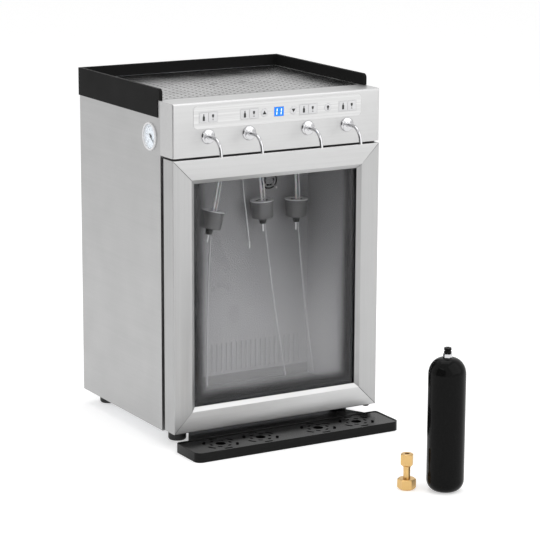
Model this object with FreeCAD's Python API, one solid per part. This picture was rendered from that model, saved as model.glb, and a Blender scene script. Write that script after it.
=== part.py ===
import FreeCAD, Part

import math
import os

# Four-bottle wine dispenser: a cooled cabinet with a glass door, a head box
# with keys and four taps, a gas supply, and a loose drip tray.
# The origin is on the floor, under the middle of the door's front face.
# The front looks along -Y. All lengths are in millimetres.

os.makedirs("parts", exist_ok=True)

Vector = FreeCAD.Vector
X = Vector(1, 0, 0)
Y = Vector(0, 1, 0)
Z = Vector(0, 0, 1)

# Cabinet
width = 450.0
body_depth = 347.0
foot_height = 28.0
top_height = 662.0
sheet = 1.2
flange = 15.0
top_flange = 12.0
base_upturn = 15.0

# Door
door_thickness = 38.0
door_gap = 12.0
outer_edge_round = 1.5
door_bottom = 32.0
head_gap = 4.0
frame_face = 39.0
bevel_width = 8.0
bevel_depth = 6.0
lip_thickness = 2.0
tube_depth = 34.0
profile_wall = 2.0
pane = 4.0
pane_gap = 12.0
pane_edge_gap = 1.0
spacer_width = 8.0
seal_outer = 14.0
seal_width = 17.0
seal_clearance = 0.3
bead_width = 13.0

# Hinges
pin_inset = 11.0
pin_radius = 3.0
pin_clearance = 0.05
pin_reach = 9.0
hinge_plate = 3.0
hinge_width = 20.0
hinge_nose = 11.0
hinge_gap = 0.5
hinge_leg = 32.0
pin_head_radius = 6.0
pin_head = 3.6

# Head box
head_height = 102.0
head_depth = 50.0
head_top_depth = 60.0
head_bend = 4.0
overlay_width = 363.0
overlay_height = 42.0
overlay_radius = 8.0
overlay_thickness = 0.8
overlay_above_head = 52.5
key_size = 18.2
key_pitch = 19.4
key_proud = 0.5
key_gap = 0.3
key_depth = 6.0
key_radius = 1.2
key_travel = 0.8
round_key_diameter = 15.0
arrow_offset = 31.5
display_width = 21.0
display_height = 18.0
key_row_above_head = 73.0
board_thickness = 1.6
board_gap = 11.0
board_width = 356.0
board_height = 44.0
switch_side = 6.0
switch_gap = 0.2
standoff_radius = 2.5
standoff_margin = 4.0
connector_width = 80.0
connector_depth = 9.0
connector_height = 20.0

# Taps
tap_inner_x = 64.0
tap_outer_x = 151.0
tap_above_head = 37.0
rosette_diameter = 28.0
rosette_thickness = 4.0
hub_diameter = 9.4
hub_length = 2.5
spout_diameter = 6.6
spout_bore = 4.6
spout_straight = 22.0
spout_bend = 27.0
spout_turn = 78.0
spout_drop = 10.5
valve_front = 14.0
valve_width = 26.0
valve_depth = 30.0
valve_height = 28.0
coil_diameter = 22.0
coil_length = 24.0
barb_diameter = 4.6
barb_length = 10.0
spout_nut_flats = 12.0
spout_nut_height = 4.0

# Top of the cabinet
grid_thickness = 1.5
grid_gap = 0.4
hole_pitch = 16.1
hole_diameter = 5.0
hole_margin = 9.0
slot_length = 20.0
slot_width = 6.0
slot_spacing = 4 * hole_pitch
pan_depth = 20.0
pan_lip = 9.0
pan_inset = 4.0
rail_top = 22.0
rail_skirt = 32.5
rail_skin = 1.5
rail_thickness = 7.0
rail_corner = 8.0
rail_front_step = 8.0

# Wine compartment
cavity_half = 178.0
cavity_floor = 60.0
ceiling_drop = 28.0
duct_face = 188.0
duct_plate_thickness = 2.0
duct_depth = 28.0
liner_wall = 2.0
foam_back = 45.0
foam_above_head = 15.0
louvre_width = 5.6
louvre_pitch = 11.1
louvre_count = 29
louvre_bottom = 85.0
louvre_height = 59.0
fan_x = 88.0
fan_below_ceiling = 64.0
fan_side = 40.0
fan_bore = 36.0
fan_depth = 10.0
fan_hole_offset = 16.0
rear_fan_side = 120.0
rear_fan_bore = 112.0
rear_fan_depth = 25.0
fan_post_radius = 1.5
fan_post_clearance = 0.05
fan_blades = 7
fan_spoke = 2.4
fan_ring_width = 3.4
fan_ring_step = 6.2
cooler_below_ceiling = 208.0
cold_sink_width = 120.0
cold_sink_height = 120.0
cell_side = 60.0
hot_sink_width = 124.0
hot_sink_base = 8.0
fin_thickness = 2.0
fin_count = 11
hose_hole_gap = 0.3

# Bottle stoppers, tubes and probe
bottle_pitch = 88.0
stopper_y = 150.0
stopper_below_ceiling = 98.0
stopper_diameter = 45.0
stopper_height = 34.0
stopper_taper = 1.5
plug_top_diameter = 17.0
plug_bottom_diameter = 13.0
plug_height = 12.0
rim_diameter = 47.0
rim_bore = 26.0
rim_thickness = 1.4
stopper_well = 6.0
tip_diameter = 3.0
tip_length = 16.0
foam_hole_diameter = 14.0
wine_hose_diameter = 5.0
gas_hose_diameter = 3.2
dip_tube_diameter = 3.0
tube_spacing = 7.0
dip_offset = 4.5
dip_floor_gap = 14.0
hose_middle_rise = 54.0
hose_straight = 14.0
hose_above_stopper = 24.0
# One value for each bottle, from left to right
stopper_tilt = [5.0, 12.4, -3.5, 0.6]
stopper_drift = [0.0, -16.0, 5.0, -4.0]
stopper_lift = [-3.0, -8.0, 3.0, -1.0]
hose_bow = [-3.0, -3.5, -0.8, -7.5]
tube_sway = [8.0, -18.0, 51.0, 37.0]
probe_diameter = 4.5
probe_length = 14.0
lead_diameter = 2.0
probe_x = -14.0
probe_ahead = 32.0
lead_straight = 38.0
# Sideways drift and drop below the ceiling at each bend
lead_bends = [(1.0, 28.0), (5.0, 72.0), (11.0, 118.0), (17.0, 166.0)]

# Gauge in the left side panel
gauge_y = 92.0
gauge_above_head = 30.0
gauge_diameter = 53.0
gauge_bore = 46.0
gauge_proud = 3.5
gauge_recess = 6.5
gauge_case_depth = 30.0
gauge_wall = 1.5
gauge_pocket = 2.0
gauge_spigot_radius = 5.0
gauge_spigot_length = 12.0
lens_setback = 1.0
lens_thickness = 1.5
needle_tail = 6.0
needle_width = 1.0
needle_thickness = 0.6
needle_hub_radius = 2.8
needle_hub_length = 1.4
needle_standoff = 0.8
needle_length = 17.0
needle_angle = 45.0
needle_post_radius = 0.8
needle_clearance = 0.05

# Gas line and mains inlet
manifold_side = 16.0
manifold_length = 300.0
manifold_y = 206.0
manifold_rise = 15.0
manifold_barb = 6.0
manifold_leg = 16.0
manifold_leg_inset = 20.0
union_flats = 19.0
union_nut = 5.0
union_bore = 2.5
inlet_x = 150.0
inlet_radius = 6.5
inlet_length = 14.0
supply_radius = 3.0
mains_width = 48.0
mains_height = 27.0
mains_x = 150.0
mains_z = 74.0
mains_ear = 8.0
mains_plate = 2.5
mains_corner = 4.0
mains_edge = 2.0
mains_depth = 18.0
socket_half_width = 12.0
socket_half_height = 8.0
socket_depth = 13.0
pin_half_width = 1.0
pin_half_height = 3.0
socket_pins = [(-7.0, -2.0), (0.0, 2.0), (7.0, -2.0)]

# Screws and vents of the back, and the small screws inside
rear_screws = 4
rear_screw_inset = 8.0
rear_screw_above_foot = 32.0
rear_screw_below_top = 62.0
rear_screw_radius = 3.0
rear_screw_height = 1.6
small_screw_radius = 2.4
small_screw_height = 1.4
plate_screw_x = 10.0
plate_screw_z = 12.0
vent_rows = 8
vent_pitch = 12.0
vent_height = 5.0
vent_half_length = 45.0
vent_x = 110.0
vent_above_cooler = 90.0
vent_spoke = 6.0

# Feet and drip tray
foot_diameter = 35.0
foot_x = 181.0
foot_front_y = 72.0
foot_rear_y = 372.0
foot_round = 4.0
tray_half = 224.0
tray_front = 90.0
tray_back = 4.0
tray_height = 18.7
tray_wall = 3.0
tray_corner = 14.0
tray_rib = 9.0
pocket_front = 6.0
deck_drop = 1.2
deck_thickness = 2.2
deck_gap = 0.4
tongue_front_half = 197.0
tongue_back_half = 163.0
tongue_length = 60.0
cluster_y = 47.0
cluster_hole = 9.75
inner_ring = 20.0
outer_ring = 32.0
slot_in_ring = 5.0
slot_out_ring = 5.5
inner_sweep = 13.0
outer_sweep = 22.0

# Gas cylinder and brass adaptor, standing beside the machine
cylinder_x = 90.5
cylinder_y = -443.4
cylinder_diameter = 68.0
cylinder_shoulder = 245.8
cylinder_foot_radius = 15.0
cylinder_low_round = 22.0
cylinder_high_round = 30.0
cylinder_neck_margin = 0.5
nut_flats = 15.0
nut_height = 7.2
nut_turn = 20.0
cap_diameter = 14.0
cap_height = 11.0
adaptor_x = 34.3
adaptor_y = -403.9
adaptor_low_flats = 29.5
adaptor_low_height = 20.0
adaptor_neck_diameter = 12.6
adaptor_neck_height = 23.0
adaptor_top_flats = 21.0
adaptor_top_height = 23.0
adaptor_low_turn = -32.0
adaptor_top_turn = -14.0
adaptor_bevel = 3.5
adaptor_collar = 0.8
adaptor_collar_height = 2.0
adaptor_bore = 9.0
adaptor_bore_depth = 14.0
adaptor_socket_bore = 21.0
adaptor_socket_depth = 12.0
adaptor_duct = 4.0

# Places worked out from the sizes above
half = width / 2
body_front = door_thickness + door_gap
body_back = body_front + body_depth
head_bottom = top_height - head_height
door_top = head_bottom - head_gap
foam_top = head_bottom + foam_above_head
cavity_top = door_top - ceiling_drop
fan_z = cavity_top - fan_below_ceiling
cooler_z = cavity_top - cooler_below_ceiling
stopper_top = cavity_top - stopper_below_ceiling
hose_middle_z = stopper_top + hose_middle_rise
gauge_z = head_bottom + gauge_above_head
tap_z = head_bottom + tap_above_head
overlay_bottom = head_bottom + overlay_above_head
key_z = head_bottom + key_row_above_head
frame_width = frame_face + bevel_width
glass_front = bevel_depth + lip_thickness
glass_depth = 2 * pane + pane_gap
glass_edge = tube_depth + pane_edge_gap
liner_back = duct_face + duct_depth
foam_rear = liner_back + liner_wall + foam_back
hinge_x = half - pin_inset
hinge_y = door_thickness / 2
tap_x = [-tap_outer_x, -tap_inner_x, tap_inner_x, tap_outer_x]
bottle_x = [(i - 1.5) * bottle_pitch for i in range(4)]
light_x = (tap_inner_x + tap_outer_x) / 2
shelf = top_height - sheet


# Helpers
def block(x0, x1, y0, y1, z0, z1):
    return Part.makeBox(x1 - x0, y1 - y0, z1 - z0, Vector(x0, y0, z0))


def rod(start, axis, radius, length):
    return Part.makeCylinder(radius, length, start, axis)


def ring(start, axis, outer, inner, length):
    core = rod(start - axis, axis, inner, length + 2)
    return rod(start, axis, outer, length).cut(core)


def fused(shapes):
    whole = shapes[0]
    if len(shapes) > 1:
        whole = whole.multiFuse(shapes[1:])
    return whole.removeSplitter()


def less(shape, tools):
    return shape.cut(Part.makeCompound(tools)) if tools else shape


def group(shapes):
    solids = []
    for shape in shapes:
        solids.extend(shape.Solids)
    return Part.makeCompound(solids)


def flipped(shape):
    return shape.mirror(Vector(0, 0, 0), X)


def prism(points, along):
    outline = Part.makePolygon(points + [points[0]])
    return Part.Face(outline).extrude(along)


def hexagon(x, y, z, flats, height, turn=0.0):
    corner = flats / math.sqrt(3)
    points = []
    for i in range(6):
        angle = math.radians(60 * i + turn)
        points.append(Vector(x + corner * math.cos(angle), y + corner * math.sin(angle), z))
    return prism(points, Z * height)


def rounded_slab(x0, x1, z0, z1, radius, y0, y1):
    slab = block(x0, x1, y0, y1, z0, z1)
    edges = [e for e in slab.Edges if abs(e.tangentAt(e.FirstParameter).y) > 0.9]
    return slab.makeFillet(radius, edges)


def turned(points, x, y, z):
    outline = Part.makePolygon([Vector(r, 0, h) for r, h in points + [points[0]]])
    solid = Part.Face(outline).revolve(Vector(0, 0, 0), Z, 360)
    solid.translate(Vector(x, y, z))
    return solid


def parted(shape, z):
    # A bonded floor and the walls that stand on it, as two solids that touch.
    reach = 2 * width
    below = block(-reach, reach, -reach, reach, z - reach, z)
    return group([shape.common(below), shape.cut(below)])


def save(name, shape):
    shape.exportStep("parts/" + name + ".step")


def route_wire(points, name):
    # Straight runs joined by tangent arcs, each as large as its two runs allow.
    edges = []
    radii = []
    last = points[0]
    for i in range(1, len(points) - 1):
        before = points[i - 1] - points[i]
        after = points[i + 1] - points[i]
        turn = math.pi - before.getAngle(after)
        reach = 0.45 * min(before.Length, after.Length)
        radius = reach / math.tan(turn / 2)
        radii.append(round(radius, 1))
        before.normalize()
        after.normalize()
        start = points[i] + before * reach
        end = points[i] + after * reach
        inward = before + after
        inward.normalize()
        centre = points[i] + inward * (radius / math.cos(turn / 2))
        middle = centre - inward * radius
        edges.append(Part.LineSegment(last, start).toShape())
        edges.append(Part.Arc(start, middle, end).toShape())
        last = end
    edges.append(Part.LineSegment(last, points[-1]).toShape())
    print(name, "bend radii", radii)
    return Part.Wire(edges)


def tube(points, radius, name):
    path = route_wire(points, name)
    first = points[1] - points[0]
    circle = Part.Wire(Part.makeCircle(radius, points[0], first))
    solid = path.makePipeShell([circle], True, False)
    expected = math.pi * radius ** 2 * path.Length
    print(name, "volume over section times length", round(solid.Volume / expected, 4))
    return solid


# Cabinet sheet metal
def side_panel():
    skin = block(half - flange, half, body_front, body_back - sheet, foot_height, top_height)
    room = block(half - flange - 1, half - sheet, body_front + sheet, body_back - 2 * sheet,
                 foot_height - 1, top_height - sheet)
    return skin.cut(room).cut(
        block(half - flange - 1, half - top_flange, body_front - 1, body_back,
              top_height - sheet, top_height + 1))


def left_side_panel():
    panel = flipped(side_panel())
    hole = rod(Vector(-half - 1, gauge_y, gauge_z), X, gauge_bore / 2 + gauge_wall, sheet + 2)
    return panel.cut(hole)


def base_pan():
    outer = block(-half + sheet, half - sheet, body_front + liner_wall,
                  body_back - 2 * sheet, foot_height, foot_height + base_upturn)
    inner = block(-half + 2 * sheet, half - 2 * sheet, body_front + liner_wall + sheet,
                  body_back - 3 * sheet, foot_height + sheet, foot_height + base_upturn + 1)
    return outer.cut(inner)


def rear_fan_slots():
    # Three rings of slots, parted by four spokes.
    slots = []
    step = rear_fan_bore / 2 / 4
    spoke = vent_spoke / 2
    y0 = body_back - sheet - 1
    for k in range(1, 4):
        middle = k * step
        slots.append(ring(Vector(0, y0, cooler_z), Y, middle + step / 3, middle - step / 3, 3))
    spokes = fused([
        block(-rear_fan_bore, rear_fan_bore, y0 - 1, y0 + 4, cooler_z - spoke,
              cooler_z + spoke),
        block(-spoke, spoke, y0 - 1, y0 + 4, cooler_z - rear_fan_bore,
              cooler_z + rear_fan_bore)])
    return [slot.cut(spokes) for slot in slots]


def back_panel():
    skin = block(-half + sheet, half - sheet, body_back - sheet, body_back, foot_height,
                 top_height)
    lip = block(-half + top_flange, half - top_flange, body_back - top_flange, body_back,
                top_height - sheet, top_height)
    cuts = rear_fan_slots()
    for side in (-1, 1):
        for row in range(vent_rows):
            x = side * vent_x
            z = cooler_z + vent_above_cooler + row * vent_pitch
            cuts.append(block(x - vent_half_length, x + vent_half_length, body_back - sheet - 1,
                              body_back + 1, z, z + vent_height))
    wide = mains_width / 2 - mains_edge
    high = mains_height / 2 - mains_edge
    cuts.append(block(mains_x - wide, mains_x + wide, body_back - sheet - 1, body_back + 1,
                      mains_z - high, mains_z + high))
    cuts.append(rod(Vector(-inlet_x, body_back - sheet - 1, manifold_z()), Y, inlet_radius,
                    sheet + 2))
    return less(fused([skin, lip]), cuts)


def manifold_z():
    return foam_top + manifold_rise + manifold_side / 2


def feet():
    pieces = []
    for x in (-foot_x, foot_x):
        for y in (foot_front_y, foot_rear_y):
            foot = rod(Vector(x, y, 0), Z, foot_diameter / 2, foot_height)
            rim = [e for e in foot.Edges if e.BoundBox.ZMax < 0.01]
            pieces.append(foot.makeFillet(foot_round, rim))
    return group(pieces)


# Top deck
def grid_area():
    return (-half + top_flange + grid_gap, half - top_flange - grid_gap,
            head_top_depth + grid_gap, body_back - top_flange - grid_gap)


def spill_pan():
    x0, x1, y0, y1 = grid_area()
    lip = block(x0 - pan_lip, x1 + pan_lip, y0 - pan_inset, y1 + pan_inset, shelf - sheet, shelf)
    box_outer = block(x0 + pan_inset, x1 - pan_inset, y0 + pan_inset, y1 - pan_inset,
                      shelf - pan_depth, shelf)
    box_inner = block(x0 + pan_inset + sheet, x1 - pan_inset - sheet, y0 + pan_inset + sheet,
                      y1 - pan_inset - sheet, shelf - pan_depth + sheet, shelf + 1)
    return parted(fused([lip, box_outer]).cut(box_inner), shelf - pan_depth + sheet)


def slot_wire(x, y, z):
    # A slot with round ends, as one closed wire.
    r = slot_width / 2
    s = slot_length / 2 - r
    front = Part.LineSegment(Vector(x - s, y - r, z), Vector(x + s, y - r, z))
    right = Part.Arc(Vector(x + s, y - r, z), Vector(x + s + r, y, z), Vector(x + s, y + r, z))
    rear = Part.LineSegment(Vector(x + s, y + r, z), Vector(x - s, y + r, z))
    left = Part.Arc(Vector(x - s, y + r, z), Vector(x - s - r, y, z), Vector(x - s, y - r, z))
    return Part.Wire([edge.toShape() for edge in (front, right, rear, left)])


def grid_plate():
    x0, x1, y0, y1 = grid_area()
    outline = Part.makePolygon([Vector(x0, y0, shelf), Vector(x1, y0, shelf),
                                Vector(x1, y1, shelf), Vector(x0, y1, shelf),
                                Vector(x0, y0, shelf)])
    columns = int((x1 - x0 - 2 * hole_margin) / hole_pitch) + 1
    rows = int((y1 - y0 - 2 * hole_margin) / hole_pitch) + 1
    first_x = (x0 + x1 - (columns - 1) * hole_pitch) / 2
    first_y = (y0 + y1 - (rows - 1) * hole_pitch) / 2
    slot_y = first_y + (rows // 2 - 2) * hole_pitch
    reach = slot_length / 2
    wires = []
    for i in range(columns):
        for j in range(rows):
            x = first_x + i * hole_pitch
            y = first_y + j * hole_pitch
            on_slot = abs(abs(x) - slot_spacing / 2) < reach + hole_diameter
            if on_slot and abs(y - slot_y) < (slot_width + hole_diameter) / 2 + 1:
                continue
            wires.append(Part.Wire(Part.makeCircle(hole_diameter / 2, Vector(x, y, shelf), Z)))
    for side in (-1, 1):
        wires.append(slot_wire(side * slot_spacing / 2, slot_y, shelf))
    return Part.Face([Part.Wire(outline)] + wires).extrude(Z * grid_thickness)


def guard_rail():
    out = half + rail_skin
    back = body_back + rail_skin
    top = top_height + rail_top
    upper = block(-out, out, body_front, back, top_height, top)
    well = block(-out + rail_thickness, out - rail_thickness, body_front - 1,
                 back - rail_thickness, top_height - 1, top + 1)
    rail = upper.cut(well)
    corners = [e for e in rail.Edges
               if abs(e.tangentAt(e.FirstParameter).x) > 0.9
               and abs(e.CenterOfMass.z - top) < 0.01
               and abs(e.CenterOfMass.y - body_front) < 0.01]
    rail = rail.makeFillet(rail_corner, corners)
    cavity = block(-out + rail_skin, out - rail_skin, body_front + rail_corner,
                   back - rail_skin, top_height - 1, top - rail_skin)
    core = block(-out + rail_thickness - rail_skin, out - rail_thickness + rail_skin,
                 body_front, back - rail_thickness + rail_skin, top_height - 2, top + 1)
    rail = rail.cut(cavity.cut(core))
    skirt = block(-out, out, body_front + rail_front_step, back, top_height - rail_skirt,
                  top_height)
    inside = block(-half, half, body_front, body_back, top_height - rail_skirt - 1,
                   top_height + 1)
    return fused([rail, skirt.cut(inside)])


# Head box
def key_centres():
    places = []
    for x in tap_x:
        places.append((x - key_pitch / 2, x + key_pitch / 2))
    return places


def square_key(x):
    body = rounded_slab(x - key_size / 2, x + key_size / 2, key_z - key_size / 2,
                        key_z + key_size / 2, key_radius, -overlay_thickness - key_proud,
                        key_depth)
    edges = [e for e in body.Edges if e.BoundBox.YMax < -overlay_thickness - key_proud + 0.01]
    return body.makeChamfer(key_proud / 2, edges)


def round_key(x):
    front = -overlay_thickness - key_proud
    body = rod(Vector(x, front, key_z), Y, round_key_diameter / 2, key_depth - front)
    edges = [e for e in body.Edges if e.BoundBox.YMax < front + 0.01]
    return body.makeChamfer(key_proud / 2, edges)


def key_openings():
    front = -overlay_thickness - 1
    back = sheet + 1
    side = key_size / 2 + key_gap
    cuts = []
    for pair in key_centres():
        for x in pair:
            cuts.append(rounded_slab(x - side, x + side, key_z - side, key_z + side,
                                     key_radius + key_gap, front, back))
    for x in (-arrow_offset, arrow_offset, light_x):
        cuts.append(rod(Vector(x, front, key_z), Y, round_key_diameter / 2 + key_gap,
                        back - front))
    cuts.append(block(-display_width / 2, display_width / 2, front, back,
                      key_z - display_height / 2, key_z + display_height / 2))
    return cuts


def front_bends(shape, front, top):
    # The upright edges of the front face, and its top edge.
    edges = []
    for e in shape.Edges:
        along = e.tangentAt(e.FirstParameter)
        upright = abs(along.z) > 0.9
        level = abs(along.x) > 0.9 and e.BoundBox.ZMin > top - 0.01
        if e.BoundBox.YMax < front + 0.01 and (upright or level):
            edges.append(e)
    return edges


def head_casing():
    outer = block(-half, half, 0, head_depth, head_bottom, top_height)
    outer = outer.makeFillet(head_bend, front_bends(outer, 0, top_height))
    inner = block(-half + sheet, half - sheet, sheet, head_depth + 1, head_bottom + sheet,
                  top_height - sheet)
    inner = inner.makeFillet(head_bend - sheet, front_bends(inner, sheet, top_height - sheet))
    lip = block(-half + top_flange, half - top_flange, head_depth - 1, head_top_depth,
                top_height - sheet, top_height)
    cuts = key_openings()
    for x in tap_x:
        cuts.append(rod(Vector(x, -1, tap_z), Y, spout_diameter / 2, sheet + 2))
    return less(fused([outer.cut(inner), lip]), cuts)


def control_overlay():
    slab = rounded_slab(-overlay_width / 2, overlay_width / 2, overlay_bottom,
                        overlay_bottom + overlay_height, overlay_radius,
                        -overlay_thickness, 0)
    return less(slab, key_openings())


def display_module():
    window = block(-display_width / 2, display_width / 2, -overlay_thickness, sheet,
                   key_z - display_height / 2, key_z + display_height / 2)
    body = block(-display_width / 2 - 2, display_width / 2 + 2, sheet, board_gap,
                 key_z - display_height / 2 - 2, key_z + display_height / 2 + 2)
    return fused([window, body])


def control_board():
    z0 = overlay_bottom - 1
    board = block(-board_width / 2, board_width / 2, board_gap, board_gap + board_thickness,
                  z0, z0 + board_height)
    pieces = [board]
    back = key_depth + key_travel + switch_gap
    places = [-arrow_offset, arrow_offset, light_x]
    for pair in key_centres():
        places.extend(pair)
    side = switch_side / 2
    for x in places:
        pieces.append(block(x - side, x + side, back, board_gap, key_z - side, key_z + side))
    end = board_width / 2 - standoff_margin
    for x in (-end, -light_x, light_x, end):
        for z in (z0 + standoff_margin, z0 + board_height - standoff_margin):
            pieces.append(rod(Vector(x, sheet, z), Y, standoff_radius, board_gap - sheet))
    behind = board_gap + board_thickness
    pieces.append(block(-connector_width / 2, connector_width / 2, behind,
                        behind + connector_depth, key_z - connector_height / 2,
                        key_z + connector_height / 2))
    return fused(pieces)


# Taps and valves
def tap_rosettes():
    pieces = []
    for x in tap_x:
        disc = rod(Vector(x, -rosette_thickness, tap_z), Y, rosette_diameter / 2,
                   rosette_thickness)
        rim = [e for e in disc.Edges if e.BoundBox.YMax < -rosette_thickness + 0.01]
        disc = disc.makeFillet(rosette_thickness * 0.6, rim)
        hub = rod(Vector(x, -rosette_thickness - hub_length, tap_z), Y, hub_diameter / 2,
                  hub_length + 1)
        rim = [e for e in hub.Edges
               if e.BoundBox.YMax < -rosette_thickness - hub_length + 0.01]
        hub = hub.makeFillet(1.0, rim)
        bore = rod(Vector(x, -40, tap_z), Y, spout_diameter / 2, 50)
        pieces.append(fused([disc, hub]).cut(bore))
    return group(pieces)


def tap_spouts():
    pieces = []
    turn = math.radians(spout_turn)
    for x in tap_x:
        bend_start = Vector(x, -spout_straight, tap_z)
        centre = bend_start - Z * spout_bend
        half_way = centre + Vector(0, -math.sin(turn / 2), math.cos(turn / 2)) * spout_bend
        bend_end = centre + Vector(0, -math.sin(turn), math.cos(turn)) * spout_bend
        heading = Vector(0, -math.cos(turn), -math.sin(turn))
        tail = Vector(x, valve_front, tap_z)
        path = Part.Wire([Part.LineSegment(tail, bend_start).toShape(),
                          Part.Arc(bend_start, half_way, bend_end).toShape(),
                          Part.LineSegment(bend_end, bend_end + heading * spout_drop).toShape()])
        skin = Part.Wire(Part.makeCircle(spout_diameter / 2, tail, Y))
        bore = Part.Wire(Part.makeCircle(spout_bore / 2, tail, Y))
        solid = path.makePipeShell([skin], True, False)
        solid = solid.cut(path.makePipeShell([bore], True, False))
        nut = hexagon(0, 0, 0, spout_nut_flats, spout_nut_height)
        nut.rotate(Vector(0, 0, 0), X, -90)
        nut.translate(Vector(x, sheet, tap_z))
        nut = nut.cut(rod(Vector(x, 0, tap_z), Y, spout_diameter / 2 - 0.5, 10))
        pieces.append(fused([solid, nut]))
    return group(pieces)


def solenoid_valves():
    pieces = []
    for x in tap_x:
        body = block(x - valve_width / 2, x + valve_width / 2, valve_front,
                     valve_front + valve_depth, tap_z - valve_height / 2,
                     tap_z + valve_height / 2 - 2)
        inward = -1 if x > 0 else 1
        side = x + inward * valve_width / 2
        coil = rod(Vector(side, valve_front + valve_depth / 2, tap_z), X * inward,
                   coil_diameter / 2, coil_length)
        barb = rod(Vector(x, valve_front + valve_depth, tap_z), Y, barb_diameter / 2,
                   barb_length)
        pieces.append(fused([body, coil, barb]))
    return group(pieces)


# Door
def frame_section():
    # The outline runs from the rounded outer front edge to the window and back.
    r = outer_edge_round
    places = [(r, 0), (frame_face, 0), (frame_width, bevel_depth), (frame_width, glass_front),
              (tube_depth, glass_front), (tube_depth, door_thickness), (0, door_thickness),
              (0, r)]
    points = [Vector(0, y, s) for s, y in places]
    edges = [Part.LineSegment(a, b).toShape() for a, b in zip(points, points[1:])]
    middle = r - r * math.sqrt(0.5)
    edges.append(Part.Arc(points[-1], Vector(0, middle, middle), points[0]).toShape())
    return Part.Face(Part.Wire(edges))


def door_profile(length):
    # A profile along +X with its outer edge at z=0 and mitred ends.
    bar = frame_section().extrude(X * length)
    tunnel = block(-1, length + 1, profile_wall, door_thickness - profile_wall, profile_wall,
                   tube_depth - profile_wall)
    bar = bar.cut(tunnel)
    reach = frame_width + 10
    wedge = prism([Vector(-1, -1, -1), Vector(-1, -1, reach), Vector(reach, -1, reach)],
                  Y * (door_thickness + 2))
    other = prism([Vector(length + 1, -1, -1), Vector(length + 1, -1, reach),
                   Vector(length - reach, -1, reach)], Y * (door_thickness + 2))
    return bar.cut(wedge).cut(other)


def hinge_boss(z, up):
    start = Vector(hinge_x, hinge_y, z + up * profile_wall)
    return rod(start, Z * up, pin_radius + 3, pin_reach - profile_wall - hinge_gap + 2)


def pin_bore(z, up):
    start = Vector(hinge_x, hinge_y, z - up)
    return rod(start, Z * up, pin_radius + pin_clearance, pin_reach + 3)


def bottom_rail():
    bar = door_profile(width)
    bar.translate(Vector(-half, 0, door_bottom))
    return fused([bar, hinge_boss(door_bottom, 1)]).cut(pin_bore(door_bottom, 1))


def top_rail():
    bar = door_profile(width)
    bar = bar.mirror(Vector(0, 0, 0), Z)
    bar.translate(Vector(-half, 0, door_top))
    return fused([bar, hinge_boss(door_top, -1)]).cut(pin_bore(door_top, -1))


def left_stile():
    bar = door_profile(door_top - door_bottom)
    bar.rotate(Vector(0, 0, 0), Y, -90)
    bar = bar.mirror(Vector(0, 0, 0), X)
    bar.translate(Vector(-half, 0, door_bottom))
    return bar


def right_stile():
    bar = flipped(left_stile())
    keep_out = [hinge_boss(door_bottom, 1), hinge_boss(door_top, -1),
                pin_bore(door_bottom, 1), pin_bore(door_top, -1)]
    return less(bar, keep_out)


def door_glass():
    x = half - glass_edge
    z0 = door_bottom + glass_edge
    z1 = door_top - glass_edge
    y = glass_front
    outer = block(-x, x, y, y + pane, z0, z1)
    inner = block(-x, x, y + pane + pane_gap, y + glass_depth, z0, z1)
    spacer = block(-x, x, y + pane, y + pane + pane_gap, z0, z1)
    window = block(-x + spacer_width, x - spacer_width, y, y + glass_depth,
                   z0 + spacer_width, z1 - spacer_width)
    return group([outer, inner, spacer.cut(window)])


def door_gasket():
    # A bead holds the glass, and its skirt carries the soft magnetic seal.
    def frame(inset, size, y0, y1):
        x = half - inset
        outer = block(-x, x, y0, y1, door_bottom + inset, door_top - inset)
        x -= size
        inner = block(-x, x, y0 - 1, y1 + 1, door_bottom + inset + size,
                      door_top - inset - size)
        return outer.cut(inner)

    plate = frame(seal_outer, tube_depth + bead_width - seal_outer, door_thickness,
                  door_thickness + 2)
    bead = frame(tube_depth, bead_width, glass_front + glass_depth, door_thickness + 1)
    back = body_front - seal_clearance
    seal = frame(seal_outer, seal_width, door_thickness + 1, back)
    hollow = frame(seal_outer + 2, seal_width - 4, door_thickness + 3, back - 2)
    return fused([plate, bead, seal]).cut(hollow)


def hinge_bracket(z, up):
    # A plate under the door's corner, its pin, and a leg on the cabinet's front.
    gap = z - up * hinge_gap
    low = min(gap, gap - up * hinge_plate)
    nose_y = hinge_y
    arm = block(hinge_x - hinge_width / 2, hinge_x + hinge_width / 2, nose_y, body_front, low,
                low + hinge_plate)
    arm = arm.cut(block(half - 1, half + 20, nose_y - 1, body_front + 1, low - 1,
                        low + hinge_plate + 1))
    nose = rod(Vector(hinge_x, nose_y, low), Z, hinge_nose - 1, hinge_plate)
    pin = rod(Vector(hinge_x, hinge_y, gap), Z * up, pin_radius, pin_reach)
    leg_end = gap + up * hinge_leg
    leg = block(half - seal_outer + 1.5, half - 1, body_front - hinge_plate, body_front,
                min(low, leg_end), max(low + hinge_plate, leg_end))
    return fused([arm, nose, pin, leg])


def hinge_brackets():
    low = hinge_bracket(door_bottom, 1)
    head = rod(Vector(hinge_x, hinge_y, door_bottom - hinge_gap - hinge_plate), -Z,
               pin_head_radius, pin_head)
    high = hinge_bracket(door_top, -1)
    return group([fused([low, head]), high])


# Wine compartment
def hose_entries():
    # Where each wine hose, each gas hose and the probe lead pass the ceiling.
    places = []
    for x in bottle_x:
        places.append((x, stopper_y, wine_hose_diameter))
        places.append((x + tube_spacing, stopper_y, gas_hose_diameter))
    places.append((probe_route()[0].x, probe_route()[0].y, lead_diameter))
    return places


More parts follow.
